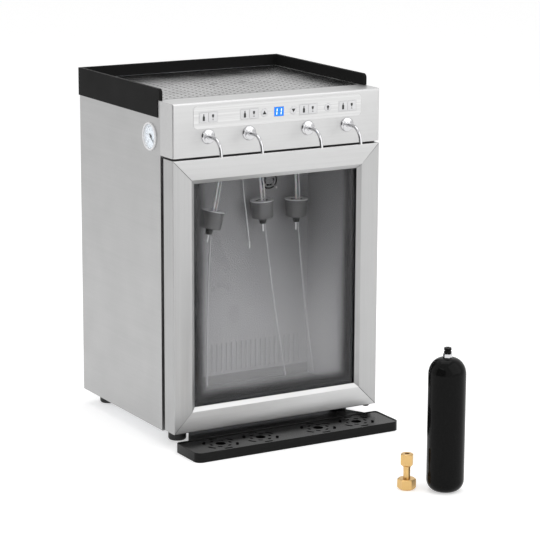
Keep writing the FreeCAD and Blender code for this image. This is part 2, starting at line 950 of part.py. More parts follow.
def liner():
    wall = liner_wall
    tub = block(-cavity_half - wall, cavity_half + wall, body_front, liner_back + wall,
                cavity_floor - wall, cavity_top + wall)
    face = block(-half + flange, half - flange, body_front, body_front + wall, foot_height,
                 foam_top)
    room = block(-cavity_half, cavity_half, body_front - 1, liner_back, cavity_floor,
                 cavity_top)
    cuts = [room, block(-cell_side / 2, cell_side / 2, liner_back - 1, liner_back + wall + 1,
                        cooler_z - cell_side / 2, cooler_z + cell_side / 2)]
    for x, y, size in hose_entries():
        cuts.append(rod(Vector(x, y, cavity_top - 1), Z, size / 2 + hose_hole_gap,
                        wall + 2))
    return less(fused([tub, face]), cuts)


def insulation():
    wall = liner_wall
    foam = block(-half + 2 * sheet, half - 2 * sheet, body_front + wall + sheet, foam_rear,
                 foot_height + sheet, foam_top)
    room = block(-cavity_half - wall, cavity_half + wall, body_front, liner_back + wall,
                 cavity_floor - wall, cavity_top + wall)
    cuts = [room, block(-cell_side / 2, cell_side / 2, liner_back, foam_rear + 1,
                        cooler_z - cell_side / 2, cooler_z + cell_side / 2)]
    for x, y, size in hose_entries():
        cuts.append(rod(Vector(x, y, cavity_top), Z, foam_hole_diameter / 2,
                        foam_top - cavity_top + 1))
    reach = gauge_diameter / 2 + gauge_pocket
    cuts.append(block(-half, -half + gauge_case_depth + gauge_pocket, gauge_y - reach,
                      gauge_y + reach, gauge_z - reach, foam_top + 1))
    return less(foam, cuts)


def duct_plate():
    plate = block(-cavity_half, cavity_half, duct_face, duct_face + duct_plate_thickness,
                  cavity_floor, cavity_top)
    cuts = []
    span = (louvre_count - 1) * louvre_pitch
    y0 = duct_face - 1
    y1 = duct_face + duct_plate_thickness + 1
    for i in range(louvre_count):
        x = -span / 2 + i * louvre_pitch
        cuts.append(rounded_slab(x - louvre_width / 2, x + louvre_width / 2, louvre_bottom,
                                 louvre_bottom + louvre_height, louvre_width / 2 - 0.05, y0, y1))
    for side in (-1, 1):
        centre = Vector(side * fan_x, y0, fan_z)
        spokes = []
        for k in range(2):
            arm = block(-fan_bore, fan_bore, y0 - 1, y1 + 1, -fan_spoke / 2, fan_spoke / 2)
            arm.rotate(Vector(0, 0, 0), Y, 45 + 90 * k)
            arm.translate(Vector(side * fan_x, 0, fan_z))
            spokes.append(arm)
        cross = fused(spokes)
        for k in range(2):
            outer = fan_bore / 2 - k * fan_ring_step
            cuts.append(ring(centre, Y, outer, outer - fan_ring_width, y1 - y0).cut(cross))
    return less(plate, cuts)


def fan_frame(x, z, y, side, bore, depth, post):
    # A square frame with a round bore, three back spokes and a bearing post.
    frame = block(x - side / 2, x + side / 2, y, y + depth, z - side / 2, z + side / 2)
    frame = frame.cut(rod(Vector(x, y - 1, z), Y, bore / 2, depth + 2))
    arms = []
    for k in range(3):
        arm = block(0, bore / 2 + 1, y + depth - 2, y + depth, -fan_spoke / 2, fan_spoke / 2)
        arm.rotate(Vector(0, 0, 0), Y, 90 + 120 * k)
        arm.translate(Vector(x, 0, z))
        arms.append(arm)
    hub = rod(Vector(x, y + depth - 2, z), Y, bore * 0.2, 2)
    shaft = rod(Vector(x, y + 2.5, z), Y, post, depth - 3)
    return fused([frame, hub, shaft] + arms)


def fan_rotor(x, z, y, bore, depth, post):
    hub_radius = bore * 0.2
    tip = bore / 2 - 0.8
    length = depth - 3.0
    hub = rod(Vector(x, y, z), Y, hub_radius, length)
    pieces = [hub]
    for k in range(fan_blades):
        blade = block(hub_radius - 1, tip, -0.6, 0.6, -length * 0.62, length * 0.62)
        blade.rotate(Vector(0, 0, 0), X, 52)
        blade.rotate(Vector(0, 0, 0), Y, 360.0 / fan_blades * k)
        blade.translate(Vector(x, y + length / 2, z))
        pieces.append(blade)
    whole = fused(pieces)
    whole = whole.common(rod(Vector(x, y, z), Y, tip, length))
    return whole.cut(rod(Vector(x, y - 1, z), Y, post + fan_post_clearance, length + 2))


def small_fan_y():
    return duct_face + duct_plate_thickness


def rear_fan_y():
    return body_back - sheet - rear_fan_depth


def fan_frames():
    pieces = []
    for side in (-1, 1):
        pieces.append(fan_frame(side * fan_x, fan_z, small_fan_y(), fan_side, fan_bore,
                                fan_depth, fan_post_radius))
    pieces.append(fan_frame(0, cooler_z, rear_fan_y(), rear_fan_side, rear_fan_bore,
                            rear_fan_depth, 2 * fan_post_radius))
    return group(pieces)


def cooling_module():
    y = liner_back
    z0 = cooler_z - cold_sink_height / 2
    z1 = cooler_z + cold_sink_height / 2
    base = block(-cold_sink_width / 2, cold_sink_width / 2, y - 5, y, z0, z1)
    cell = block(-cell_side / 2, cell_side / 2, y, foam_rear, cooler_z - cell_side / 2,
                 cooler_z + cell_side / 2)
    wide = hot_sink_width / 2
    plate = block(-wide, wide, foam_rear, foam_rear + hot_sink_base, cooler_z - wide,
                  cooler_z + wide)
    pieces = [base, cell, plate]
    front = small_fan_y() + 2
    for i in range(fin_count):
        x = -cold_sink_width / 2 + fin_thickness / 2
        x += i * (cold_sink_width - fin_thickness) / (fin_count - 1)
        pieces.append(block(x - fin_thickness / 2, x + fin_thickness / 2, front, y - 4, z0, z1))
        x = -wide + fin_thickness / 2 + i * (2 * wide - fin_thickness) / (fin_count - 1)
        pieces.append(block(x - fin_thickness / 2, x + fin_thickness / 2,
                            foam_rear + hot_sink_base - 1, rear_fan_y(), cooler_z - wide,
                            cooler_z + wide))
    return fused(pieces)


# Stoppers, hoses, dip tubes and the probe
def stopper_place(shape, i):
    # Tilts a stopper made at the origin, top face at z=0, and hangs it in place.
    shape.rotate(Vector(0, 0, 0), Y, stopper_tilt[i])
    shape.translate(Vector(bottle_x[i] + stopper_drift[i], stopper_y,
                           stopper_top + stopper_lift[i]))
    return shape


def stopper_point(x, z, i):
    angle = math.radians(stopper_tilt[i])
    place = Vector(x * math.cos(angle) + z * math.sin(angle), 0,
                   -x * math.sin(angle) + z * math.cos(angle))
    return place + Vector(bottle_x[i] + stopper_drift[i], stopper_y,
                          stopper_top + stopper_lift[i])


def stoppers():
    pieces = []
    low = stopper_diameter / 2 - stopper_taper
    well = rim_bore / 2
    for i in range(4):
        body = turned([(0, -stopper_height - plug_height),
                       (plug_bottom_diameter / 2, -stopper_height - plug_height),
                       (plug_top_diameter / 2, -stopper_height), (low, -stopper_height),
                       (stopper_diameter / 2, 0), (well, 0), (well, -stopper_well),
                       (0, -stopper_well)], 0, 0, 0)
        pieces.append(stopper_place(body, i))
    return group(pieces)


def stopper_fittings():
    pieces = []
    plug_end = -stopper_height - plug_height
    for i in range(4):
        rim = ring(Vector(0, 0, 0), Z, rim_diameter / 2, rim_bore / 2, rim_thickness)
        pieces.append(stopper_place(rim, i))
        tip = rod(Vector(0, 0, plug_end), -Z, tip_diameter / 2, tip_length)
        pieces.append(stopper_place(tip, i))
    return group(pieces)


def dip_tubes():
    # Each tube leaves its plug and leans until it nears the compartment's floor.
    pieces = []
    for i in range(4):
        start = stopper_point(dip_offset, -stopper_height - plug_height, i)
        end = Vector(bottle_x[i] + stopper_drift[i] + tube_sway[i], stopper_y - 8,
                     cavity_floor + dip_floor_gap)
        middle = (start + end) * 0.5 + Vector(-3, 0, 0)
        path = Part.Wire(Part.Arc(start, middle, end).toShape())
        heading = middle - start
        circle = Part.Wire(Part.makeCircle(dip_tube_diameter / 2, start, heading))
        pieces.append(path.makePipeShell([circle], True, False))
    return group(pieces)


def hose_end(i, offset):
    # The last three points: above the stopper, close over it, and in its well.
    bow = Vector(bottle_x[i] + hose_bow[i] + offset, stopper_y, hose_middle_z)
    return [bow, stopper_point(offset, hose_above_stopper, i),
            stopper_point(offset, -stopper_well, i)]


def wine_route(i):
    # From the valve's barb over the foam and straight down through the ceiling.
    tap = tap_x[i]
    x = bottle_x[i]
    start = valve_front + valve_depth + barb_length
    over = [Vector(tap, start, tap_z), Vector(tap, start + 28, tap_z + 1),
            Vector(tap + (x - tap) * 0.75, stopper_y - 32, foam_top + 29),
            Vector(x, stopper_y, foam_top + 11),
            Vector(x + 0.2, stopper_y, cavity_top - hose_straight)]
    return over + hose_end(i, 0)


def gas_route(i):
    x = bottle_x[i] + tube_spacing
    start = manifold_y - manifold_side / 2 - manifold_barb
    z = manifold_z()
    over = [Vector(x, start, z), Vector(x, start - 20, z), Vector(x, stopper_y, z - 14),
            Vector(x + 0.2, stopper_y, cavity_top - hose_straight)]
    return over + hose_end(i, tube_spacing)


def probe_route():
    y = stopper_y - probe_ahead
    start = [Vector(probe_x, y, foam_top), Vector(probe_x + 0.2, y, foam_top - lead_straight)]
    return start + [Vector(probe_x + aside, y, cavity_top - drop) for aside, drop in lead_bends]


def temperature_probe():
    end = probe_route()[-1]
    return rod(end, -Z, probe_diameter / 2, probe_length)


# Gauge
def gauge_case():
    outer = gauge_bore / 2 + gauge_wall
    front = -half - gauge_proud
    bezel = rod(Vector(front, gauge_y, gauge_z), X, gauge_diameter / 2, gauge_proud)
    rim = [e for e in bezel.Edges if e.BoundBox.XMax < front + 0.01]
    bezel = bezel.makeFillet(gauge_proud * 0.6, rim)
    cup = rod(Vector(-half, gauge_y, gauge_z), X, outer, gauge_case_depth)
    room = rod(Vector(front - 1, gauge_y, gauge_z), X, gauge_bore / 2,
               gauge_case_depth + gauge_proud + 1 - gauge_wall)
    spigot = rod(Vector(-half + gauge_case_depth, gauge_y, gauge_z), X, gauge_spigot_radius,
                 gauge_spigot_length)
    return fused([bezel, cup, spigot]).cut(room)


def dial_x():
    return -half - gauge_proud + gauge_recess


def gauge_dial():
    plate = rod(Vector(dial_x(), gauge_y, gauge_z), X, gauge_bore / 2,
                gauge_case_depth - gauge_recess + gauge_proud - gauge_wall)
    reach = needle_standoff + needle_hub_length + 0.4
    post = rod(Vector(dial_x() - reach, gauge_y, gauge_z), X, needle_post_radius, reach + 0.4)
    return fused([plate, post])


def gauge_needle():
    hub_x = dial_x() - needle_standoff - needle_hub_length
    hub = rod(Vector(hub_x, gauge_y, gauge_z), X, needle_hub_radius, needle_hub_length)
    blade_x = hub_x + (needle_hub_length - needle_thickness) / 2
    blade = block(blade_x, blade_x + needle_thickness, gauge_y - needle_length,
                  gauge_y + needle_tail, gauge_z - needle_width / 2, gauge_z + needle_width / 2)
    needle = fused([hub, blade])
    needle.rotate(Vector(0, gauge_y, gauge_z), X, needle_angle)
    bore = rod(Vector(dial_x() - 4, gauge_y, gauge_z), X, needle_post_radius + needle_clearance,
               8)
    return needle.cut(bore)


def gauge_lens():
    return rod(Vector(-half - gauge_proud + lens_setback, gauge_y, gauge_z), X,
               gauge_bore / 2, lens_thickness)


# Gas line and inlet
def gas_manifold():
    side = manifold_side / 2
    z = manifold_z()
    bar = block(-manifold_length / 2, manifold_length / 2, manifold_y - side,
                manifold_y + side, z - side, z + side)
    pieces = [bar]
    leg = manifold_leg / 2
    inset = manifold_length / 2 - manifold_leg_inset
    for x in (-inset, inset):
        pieces.append(block(x - leg, x + leg, manifold_y - side, manifold_y + side, foam_top, z))
    for x in bottle_x:
        pieces.append(rod(Vector(x + tube_spacing, manifold_y - side - manifold_barb, z), Y,
                          gas_hose_diameter / 2, manifold_barb + 2))
    pipe = rod(Vector(-inlet_x, manifold_y, z), Y, supply_radius,
               body_back - sheet - manifold_y)
    pieces.append(pipe)
    pieces.append(block(-inlet_x - side, -manifold_length / 2 + 1, manifold_y - side,
                        manifold_y + side, z - side, z + side))
    for y in (body_back - sheet - union_nut, body_back):
        nut = hexagon(0, 0, 0, union_flats, union_nut)
        nut.rotate(Vector(0, 0, 0), X, -90)
        nut.translate(Vector(-inlet_x, y, z))
        pieces.append(nut)
    pieces.append(rod(Vector(-inlet_x, body_back - sheet - 1, z), Y, inlet_radius,
                      sheet + 1 + union_nut + inlet_length))
    return fused(pieces).cut(rod(Vector(-inlet_x, body_back, z), Y, union_bore, 40))


def mains_inlet():
    y = body_back
    wide = mains_width / 2
    high = mains_height / 2
    flange_plate = rounded_slab(mains_x - wide - mains_ear, mains_x + wide + mains_ear,
                                mains_z - high, mains_z + high, mains_corner, y,
                                y + mains_plate)
    body = block(mains_x - wide + mains_edge, mains_x + wide - mains_edge, y - mains_depth,
                 y + mains_plate, mains_z - high + mains_edge, mains_z + high - mains_edge)
    socket = block(mains_x - socket_half_width, mains_x + socket_half_width, y - socket_depth,
                   y + mains_plate + 1, mains_z - socket_half_height,
                   mains_z + socket_half_height)
    pieces = [fused([flange_plate, body]).cut(socket)]
    for dx, dz in socket_pins:
        x = mains_x + dx
        z = mains_z + dz
        pieces.append(block(x - pin_half_width, x + pin_half_width, y - socket_depth - 1, y - 1,
                            z - pin_half_height, z + pin_half_height))
    return fused(pieces)


def duct_screw(x, z):
    return rod(Vector(x, duct_face, z), -Y, small_screw_radius, small_screw_height)


def screws():
    pieces = []
    lowest = foot_height + rear_screw_above_foot
    step = (top_height - rear_screw_below_top - lowest) / (rear_screws - 1)
    for side in (-1, 1):
        for k in range(rear_screws):
            place = Vector(side * (half - rear_screw_inset), body_back, lowest + k * step)
            pieces.append(rod(place, Y, rear_screw_radius, rear_screw_height))
        for dx in (-fan_hole_offset, fan_hole_offset):
            for dz in (-fan_hole_offset, fan_hole_offset):
                pieces.append(duct_screw(side * fan_x + dx, fan_z + dz))
        for z in (cavity_floor + plate_screw_z, cavity_top - plate_screw_z):
            pieces.append(duct_screw(side * (cavity_half - plate_screw_x), z))
    return group(pieces)


# Drip tray
def tongue_half(y):
    share = (y + tray_back) / (tongue_length + tray_back)
    return tongue_front_half + (tongue_back_half - tongue_front_half) * share


def tray_body():
    outer = block(-tray_half, tray_half, -tray_front, -tray_back, 0, tray_height)
    upright = [e for e in outer.Edges if abs(e.tangentAt(e.FirstParameter).z) > 0.9]
    front = [e for e in upright if e.CenterOfMass.y < -tray_front / 2]
    outer = outer.makeFillet(tray_corner, front)
    back = [e for e in outer.Edges if abs(e.tangentAt(e.FirstParameter).z) > 0.9
            and e.CenterOfMass.y > -tray_back - 1]
    outer = outer.makeFillet(tray_corner / 2, back)
    root = -tray_back - 1
    tongue = prism([Vector(-tongue_half(root), root, 0), Vector(tongue_half(root), root, 0),
                    Vector(tongue_back_half, tongue_length, 0),
                    Vector(-tongue_back_half, tongue_length, 0)], Z * tray_height)
    wide = tongue_half(pocket_front) - tray_wall
    narrow = tongue_half(tongue_length - tray_wall) - tray_wall
    pocket = prism([Vector(-wide, pocket_front, -1), Vector(wide, pocket_front, -1),
                    Vector(narrow, tongue_length - tray_wall, -1),
                    Vector(-narrow, tongue_length - tray_wall, -1)],
                   Z * (tray_height + 1 - tray_wall))
    seat = deck_seat(0)
    seat_floor = tray_height - deck_drop - deck_thickness
    seat.translate(Z * seat_floor)
    well = block(-tray_half + 2 * tray_wall, tray_half - 2 * tray_wall,
                 -tray_front + 2 * tray_wall, -tray_rib - tray_wall, tray_wall, tray_height)
    return parted(fused([outer, tongue]).cut(pocket).cut(seat).cut(well), tray_wall)


def deck_seat(gap):
    side = tray_half - tray_wall - gap
    slab = block(-side, side, -tray_front + tray_wall + gap, -tray_rib - gap, 0, 30)
    upright = [e for e in slab.Edges if abs(e.tangentAt(e.FirstParameter).z) > 0.9]
    return slab.makeFillet(tray_corner - tray_wall - gap, upright)


def curved_slot(x, radius, size, angle, sweep):
    # A slot that follows a circle about the cluster's centre.
    centre = Vector(x, -cluster_y, 0)
    slot = ring(centre, Z, radius + size / 2, radius - size / 2, 40)
    reach = radius + size
    a0 = math.radians(angle - sweep / 2)
    a1 = math.radians(angle + sweep / 2)
    wedge = prism([centre, centre + Vector(math.cos(a0), math.sin(a0), 0) * reach * 1.3,
                   centre + Vector(math.cos(a1), math.sin(a1), 0) * reach * 1.3], Z * 40)
    cuts = [slot.common(wedge)]
    for a in (a0, a1):
        end = centre + Vector(math.cos(a), math.sin(a), 0) * radius
        cuts.append(rod(end, Z, size / 2, 40))
    return cuts


def drip_grid():
    deck = deck_seat(deck_gap)
    deck = deck.common(block(-tray_half, tray_half, -tray_front, 0, 0, deck_thickness))
    deck.translate(Z * (tray_height - deck_drop - deck_thickness))
    cuts = []
    for x in tap_x:
        cuts.append(rod(Vector(x, -cluster_y, 0), Z, cluster_hole, 40))
        for k in range(6):
            cuts.extend(curved_slot(x, inner_ring, slot_in_ring, 60 * k, inner_sweep))
            cuts.extend(curved_slot(x, outer_ring, slot_out_ring, 60 * k + 30, outer_sweep))
    return less(deck, cuts)


# Gas cylinder and adaptor
def gas_cylinder():
    r = cylinder_diameter / 2
    top = cylinder_shoulder
    foot = cylinder_foot_radius
    low_round = cylinder_low_round
    high_round = cylinder_high_round
    neck = nut_flats / 2 + cylinder_neck_margin
    slope = math.radians(45)
    low_mid = Vector(foot + (r - foot) * math.sin(slope), 0, low_round * (1 - math.cos(slope)))
    high_mid = Vector(neck + (r - neck) * math.cos(slope), 0,
                      top - high_round + high_round * math.sin(slope))
    edges = [Part.LineSegment(Vector(0, 0, 0), Vector(foot, 0, 0)).toShape(),
             Part.Arc(Vector(foot, 0, 0), low_mid, Vector(r, 0, low_round)).toShape(),
             Part.LineSegment(Vector(r, 0, low_round), Vector(r, 0, top - high_round)).toShape(),
             Part.Arc(Vector(r, 0, top - high_round), high_mid, Vector(neck, 0, top)).toShape(),
             Part.LineSegment(Vector(neck, 0, top), Vector(0, 0, top)).toShape(),
             Part.LineSegment(Vector(0, 0, top), Vector(0, 0, 0)).toShape()]
    body = Part.Face(Part.Wire(edges)).revolve(Vector(0, 0, 0), Z, 360)
    body.translate(Vector(cylinder_x, cylinder_y, 0))
    z = top + nut_height
    cap = turned([(0, 0), (cap_diameter / 2 - 1, 0), (cap_diameter / 2, 2),
                  (cap_diameter / 2, 3.5), (cap_diameter / 2 - 1, 5),
                  (cap_diameter / 2 - 0.6, cap_height), (0, cap_height)], cylinder_x,
                 cylinder_y, z)
    return group([body, cap])


def cylinder_valve():
    return hexagon(cylinder_x, cylinder_y, cylinder_shoulder, nut_flats, nut_height, nut_turn)


def bevelled_nut(x, y, z, flats, height, turn):
    # A hexagon whose corners are taken off by one turned outline at both ends.
    corner = flats / math.sqrt(3)
    turned_outline = turned([(0, 0), (flats / 2 - 2, 0), (corner, adaptor_bevel),
                             (corner, height - adaptor_bevel / 2), (flats / 2 - 0.4, height),
                             (0, height)], x, y, z)
    return hexagon(x, y, z, flats, height, turn).common(turned_outline)


def brass_adaptor():
    x = adaptor_x
    y = adaptor_y
    neck_radius = adaptor_neck_diameter / 2
    collar_z = adaptor_low_height + adaptor_neck_height
    top = collar_z + adaptor_top_height
    whole = fused([
        bevelled_nut(x, y, 0, adaptor_low_flats, adaptor_low_height, adaptor_low_turn),
        rod(Vector(x, y, adaptor_low_height - 1), Z, neck_radius, adaptor_neck_height + 2),
        rod(Vector(x, y, collar_z - adaptor_collar_height), Z, neck_radius + adaptor_collar,
            adaptor_collar_height),
        bevelled_nut(x, y, collar_z, adaptor_top_flats, adaptor_top_height,
                     adaptor_top_turn)])
    return less(whole, [
        rod(Vector(x, y, -1), Z, adaptor_socket_bore / 2, adaptor_socket_depth + 1),
        rod(Vector(x, y, top - adaptor_bore_depth), Z, adaptor_bore / 2, adaptor_bore_depth + 2),
        rod(Vector(x, y, -1), Z, adaptor_duct / 2, top)])


# Every node
save("side_panel_left", left_side_panel())
save("side_panel_right", side_panel())
save("back_panel", back_panel())
save("base_pan", base_pan())
save("feet", feet())
save("top_spill_pan", spill_pan())
save("top_grid_plate", grid_plate())
save("guard_rail", guard_rail())
save("head_casing", head_casing())
save("control_overlay", control_overlay())
save("display_module", display_module())
save("control_board", control_board())
for number, pair in enumerate(key_centres(), 1):
    save("key_bottle_" + str(number), square_key(pair[0]))
    save("key_glass_" + str(number), square_key(pair[1]))
save("key_up", round_key(-arrow_offset))
save("key_down", round_key(arrow_offset))
save("key_light", round_key(light_x))
save("tap_rosettes", tap_rosettes())
save("tap_spouts", tap_spouts())
save("solenoid_valves", solenoid_valves())
save("gas_manifold", gas_manifold())
save("gauge_case", gauge_case())
save("gauge_dial", gauge_dial())
save("gauge_needle", gauge_needle())
save("gauge_lens", gauge_lens())
save("liner", liner())
save("insulation", insulation())
save("duct_plate", duct_plate())
save("cooling_module", cooling_module())
save("fan_frames", fan_frames())
save("fan_rotor_left", fan_rotor(-fan_x, fan_z, small_fan_y() + 0.6, fan_bore, fan_depth,
                                 fan_post_radius))
save("fan_rotor_right", fan_rotor(fan_x, fan_z, small_fan_y() + 0.6, fan_bore, fan_depth,
                                  fan_post_radius))
save("rear_fan_rotor", fan_rotor(0, cooler_z, rear_fan_y() + 0.6, rear_fan_bore,
                                 rear_fan_depth, 2 * fan_post_radius))
save("mains_inlet", mains_inlet())
save("hinge_brackets", hinge_brackets())
save("screws", screws())
save("stoppers", stoppers())
save("stopper_fittings", stopper_fittings())
save("dip_tubes", dip_tubes())
save("wine_hoses", group([tube(wine_route(i), wine_hose_diameter / 2, "wine hose " + str(i + 1))
                          for i in range(4)]))
save("gas_hoses", group([tube(gas_route(i), gas_hose_diameter / 2, "gas hose " + str(i + 1))
                         for i in range(4)]))
save("probe_lead", tube(probe_route(), lead_diameter / 2, "probe lead"))
save("temperature_probe", temperature_probe())
save("door_stile_left", left_stile())
save("door_stile_right", right_stile())
save("door_rail_top", top_rail())
save("door_rail_bottom", bottom_rail())
save("door_glass", door_glass())
save("door_gasket", door_gasket())
save("drip_tray", tray_body())
save("drip_grid", drip_grid())
save("gas_cylinder", gas_cylinder())
save("cylinder_valve", cylinder_valve())
save("brass_adaptor", brass_adaptor())
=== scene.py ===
# %% [markdown]
# # A countertop wine dispenser
# A cooled cabinet with a glass door holds four bottles. Gas pushes the wine up
# through thin tubes, and keys on the head box open the taps. Every visible piece
# is one of the engineering model's solids, or a finer piece in its place.

# %% The frame and its size
import math

import bmesh
import bpy
from mathutils import Matrix, Vector


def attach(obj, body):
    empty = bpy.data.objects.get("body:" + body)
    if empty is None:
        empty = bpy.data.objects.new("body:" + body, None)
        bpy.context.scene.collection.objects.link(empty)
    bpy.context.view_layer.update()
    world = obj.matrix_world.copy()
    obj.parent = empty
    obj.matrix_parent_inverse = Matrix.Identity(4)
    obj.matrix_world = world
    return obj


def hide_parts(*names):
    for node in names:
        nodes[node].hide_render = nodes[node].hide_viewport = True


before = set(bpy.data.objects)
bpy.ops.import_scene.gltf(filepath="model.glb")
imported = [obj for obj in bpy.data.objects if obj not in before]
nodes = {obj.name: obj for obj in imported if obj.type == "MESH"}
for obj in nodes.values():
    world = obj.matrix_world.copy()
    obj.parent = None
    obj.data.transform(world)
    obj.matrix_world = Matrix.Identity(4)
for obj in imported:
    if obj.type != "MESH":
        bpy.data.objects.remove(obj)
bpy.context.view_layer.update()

MM = 0.001

# %% [markdown]
# The camera stands to the left of the machine, about 4.5 m away, with a long
# lens. The verticals stay almost parallel, as in a catalogue picture.

# %% The camera
CAMERA_PLACE = Vector((-2149.9, -3691.4, 1282.7)) * MM
CAMERA_YAW = 0.5238
CAMERA_PITCH = -0.22
CAMERA_ROLL = 0.004
LENS_PIXELS = 2293.6
IMAGE_PIXELS = 540
SENSOR_WIDTH = 36.0

camera_data = bpy.data.cameras.new("camera")
camera_data.sensor_width = SENSOR_WIDTH
camera_data.lens = SENSOR_WIDTH * LENS_PIXELS / IMAGE_PIXELS
camera_data.clip_end = 50
camera = bpy.data.objects.new("camera", camera_data)
bpy.context.scene.collection.objects.link(camera)
turn = Matrix.Rotation(-CAMERA_YAW, 4, "Z") @ Matrix.Rotation(math.pi / 2 + CAMERA_PITCH, 4, "X")
camera.matrix_world = (Matrix.Translation(CAMERA_PLACE) @ turn
                       @ Matrix.Rotation(CAMERA_ROLL, 4, "Z"))
bpy.context.scene.camera = camera
print("lens", round(camera_data.lens, 1), "mm")

# %% [markdown]
# The studio is plain: a pale floor, a large lamp in front, weaker ones on the
# left and above, and a white room. The white that the camera, the metal and the
# glass see is set by Light Path, so it adds no light to the object.

# %% The studio
def link(tree, start, end):
    tree.links.new(start, end)


def add(tree, kind, **values):
    node = tree.nodes.new(kind)
    for key, value in values.items():
        setattr(node, key, value)
    return node


def sees_background(tree):
    # 1 for rays from the camera, from gloss and through glass, and 0 for others.
    path = add(tree, "ShaderNodeLightPath")
    first = add(tree, "ShaderNodeMath", operation="MAXIMUM")
    second = add(tree, "ShaderNodeMath", operation="MAXIMUM")
    link(tree, path.outputs["Is Camera Ray"], first.inputs[0])
    link(tree, path.outputs["Is Glossy Ray"], first.inputs[1])
    link(tree, first.outputs[0], second.inputs[0])
    link(tree, path.outputs["Is Transmission Ray"], second.inputs[1])
    return second.outputs[0]


def make_world(light, seen):
    world = bpy.data.worlds.new("studio")
    world.use_nodes = True
    tree = world.node_tree
    background = tree.nodes["Background"]
    background.inputs["Color"].default_value = (1, 1, 1, 1)
    mix = add(tree, "ShaderNodeMapRange")
    mix.inputs["To Min"].default_value = light
    mix.inputs["To Max"].default_value = seen
    link(tree, sees_background(tree), mix.inputs["Value"])
    link(tree, mix.outputs[0], background.inputs["Strength"])
    bpy.context.scene.world = world


def lamp(name, place, target, size, power):
    data = bpy.data.lights.new(name, "AREA")
    data.shape = "SQUARE"
    data.size = size
    data.energy = power
    thing = bpy.data.objects.new(name, data)
    bpy.context.scene.collection.objects.link(thing)
    thing.location = place
    aim = Vector(target) - Vector(place)
    thing.rotation_euler = aim.to_track_quat("-Z", "Y").to_euler()
    return thing


make_world(light=0.62, seen=1.0)
lamp("lamp_front", (1.3, -2.6, 2.3), (0, 0, 0.35), 4.0, 55)
lamp("lamp_left", (-3.0, -0.8, 1.6), (0, 0.2, 0.35), 2.2, 22)
lamp("lamp_top", (0.2, 0.4, 3.0), (0, 0.2, 0.6), 2.0, 18)
scene = bpy.context.scene
scene.view_settings.view_transform = "Standard"


def clear():
    if bpy.context.mode != "OBJECT":
        bpy.ops.object.mode_set(mode="OBJECT")
    bpy.ops.object.select_all(action="DESELECT")


def activate(thing):
    clear()
    thing.select_set(True)
    bpy.context.view_layer.objects.active = thing


def stage_sheet(name, size, place, turn, colour, roughness):
    # A plane that belongs to the studio and not to the object.
    clear()
    bpy.ops.mesh.primitive_plane_add(size=size, location=place, rotation=turn)
    thing = bpy.context.object
    thing.name = name
    paint = bpy.data.materials.new("studio_" + name)
    paint.use_nodes = True
    tree = paint.node_tree
    shader = tree.nodes["Principled BSDF"]
    shader.inputs["Base Color"].default_value = (colour, colour, colour, 1)
    shader.inputs["Roughness"].default_value = roughness
    thing.data.materials.append(paint)
    return thing, tree, shader


FLOOR_SIZE = 30.0
FLOOR_DROP = -0.0004
FLOOR_GLOW = 0.42
floor_tree, floor_shader = stage_sheet("floor", FLOOR_SIZE, (0, 0, FLOOR_DROP), (0, 0, 0), 0.86,
                                       0.9)[1:]
floor_shader.inputs["Emission Color"].default_value = (1, 1, 1, 1)
glow = add(floor_tree, "ShaderNodeMath", operation="MULTIPLY")
glow.inputs[1].default_value = FLOOR_GLOW
link(floor_tree, sees_background(floor_tree), glow.inputs[0])
link(floor_tree, glow.outputs[0], floor_shader.inputs["Emission Strength"])

# %% [markdown]
# Polished metal only looks polished if it has something dark to reflect. A
# black card stands on the left, as photographers use one. It is seen in
# reflections alone and takes no light from the object.

# %% A black card for the reflections
CARD_WIDTH = 3.4
CARD_HEIGHT = 2.2
card = stage_sheet("black_card", 1, (-2.5, -1.4, CARD_HEIGHT / 2), (0, math.pi / 2, 0), 0, 1.0)[0]
card.scale = (CARD_HEIGHT, CARD_WIDTH, 1)
card.visible_camera = False
card.visible_diffuse = False
card.visible_shadow = False
card.visible_transmission = False

# %% [markdown]
# Brushed steel, moulded plastic and rubber share a few effects. Each effect is
# a node group with its own inputs, built once: the brushed grain, a fine
# stipple, and the slow change of gloss that handling leaves.

# %% Shared shader groups
def new_group(name, takes, gives):
    tree = bpy.data.node_groups.new(name, "ShaderNodeTree")
    for label, kind, value in takes:
        socket = tree.interface.new_socket(label, in_out="INPUT", socket_type=kind)
        socket.default_value = value
    for label, kind in gives:
        tree.interface.new_socket(label, in_out="OUTPUT", socket_type=kind)
    return tree, add(tree, "NodeGroupInput"), add(tree, "NodeGroupOutput")


def mapped_noise(tree, scale_socket, frequency, detail):
    place = add(tree, "ShaderNodeTexCoord")
    mapping = add(tree, "ShaderNodeMapping")
    noise = add(tree, "ShaderNodeTexNoise")
    noise.inputs["Scale"].default_value = frequency
    noise.inputs["Detail"].default_value = detail
    link(tree, place.outputs["Object"], mapping.inputs["Vector"])
    if scale_socket is not None:
        link(tree, scale_socket, mapping.inputs["Scale"])
    link(tree, mapping.outputs["Vector"], noise.inputs["Vector"])
    return noise


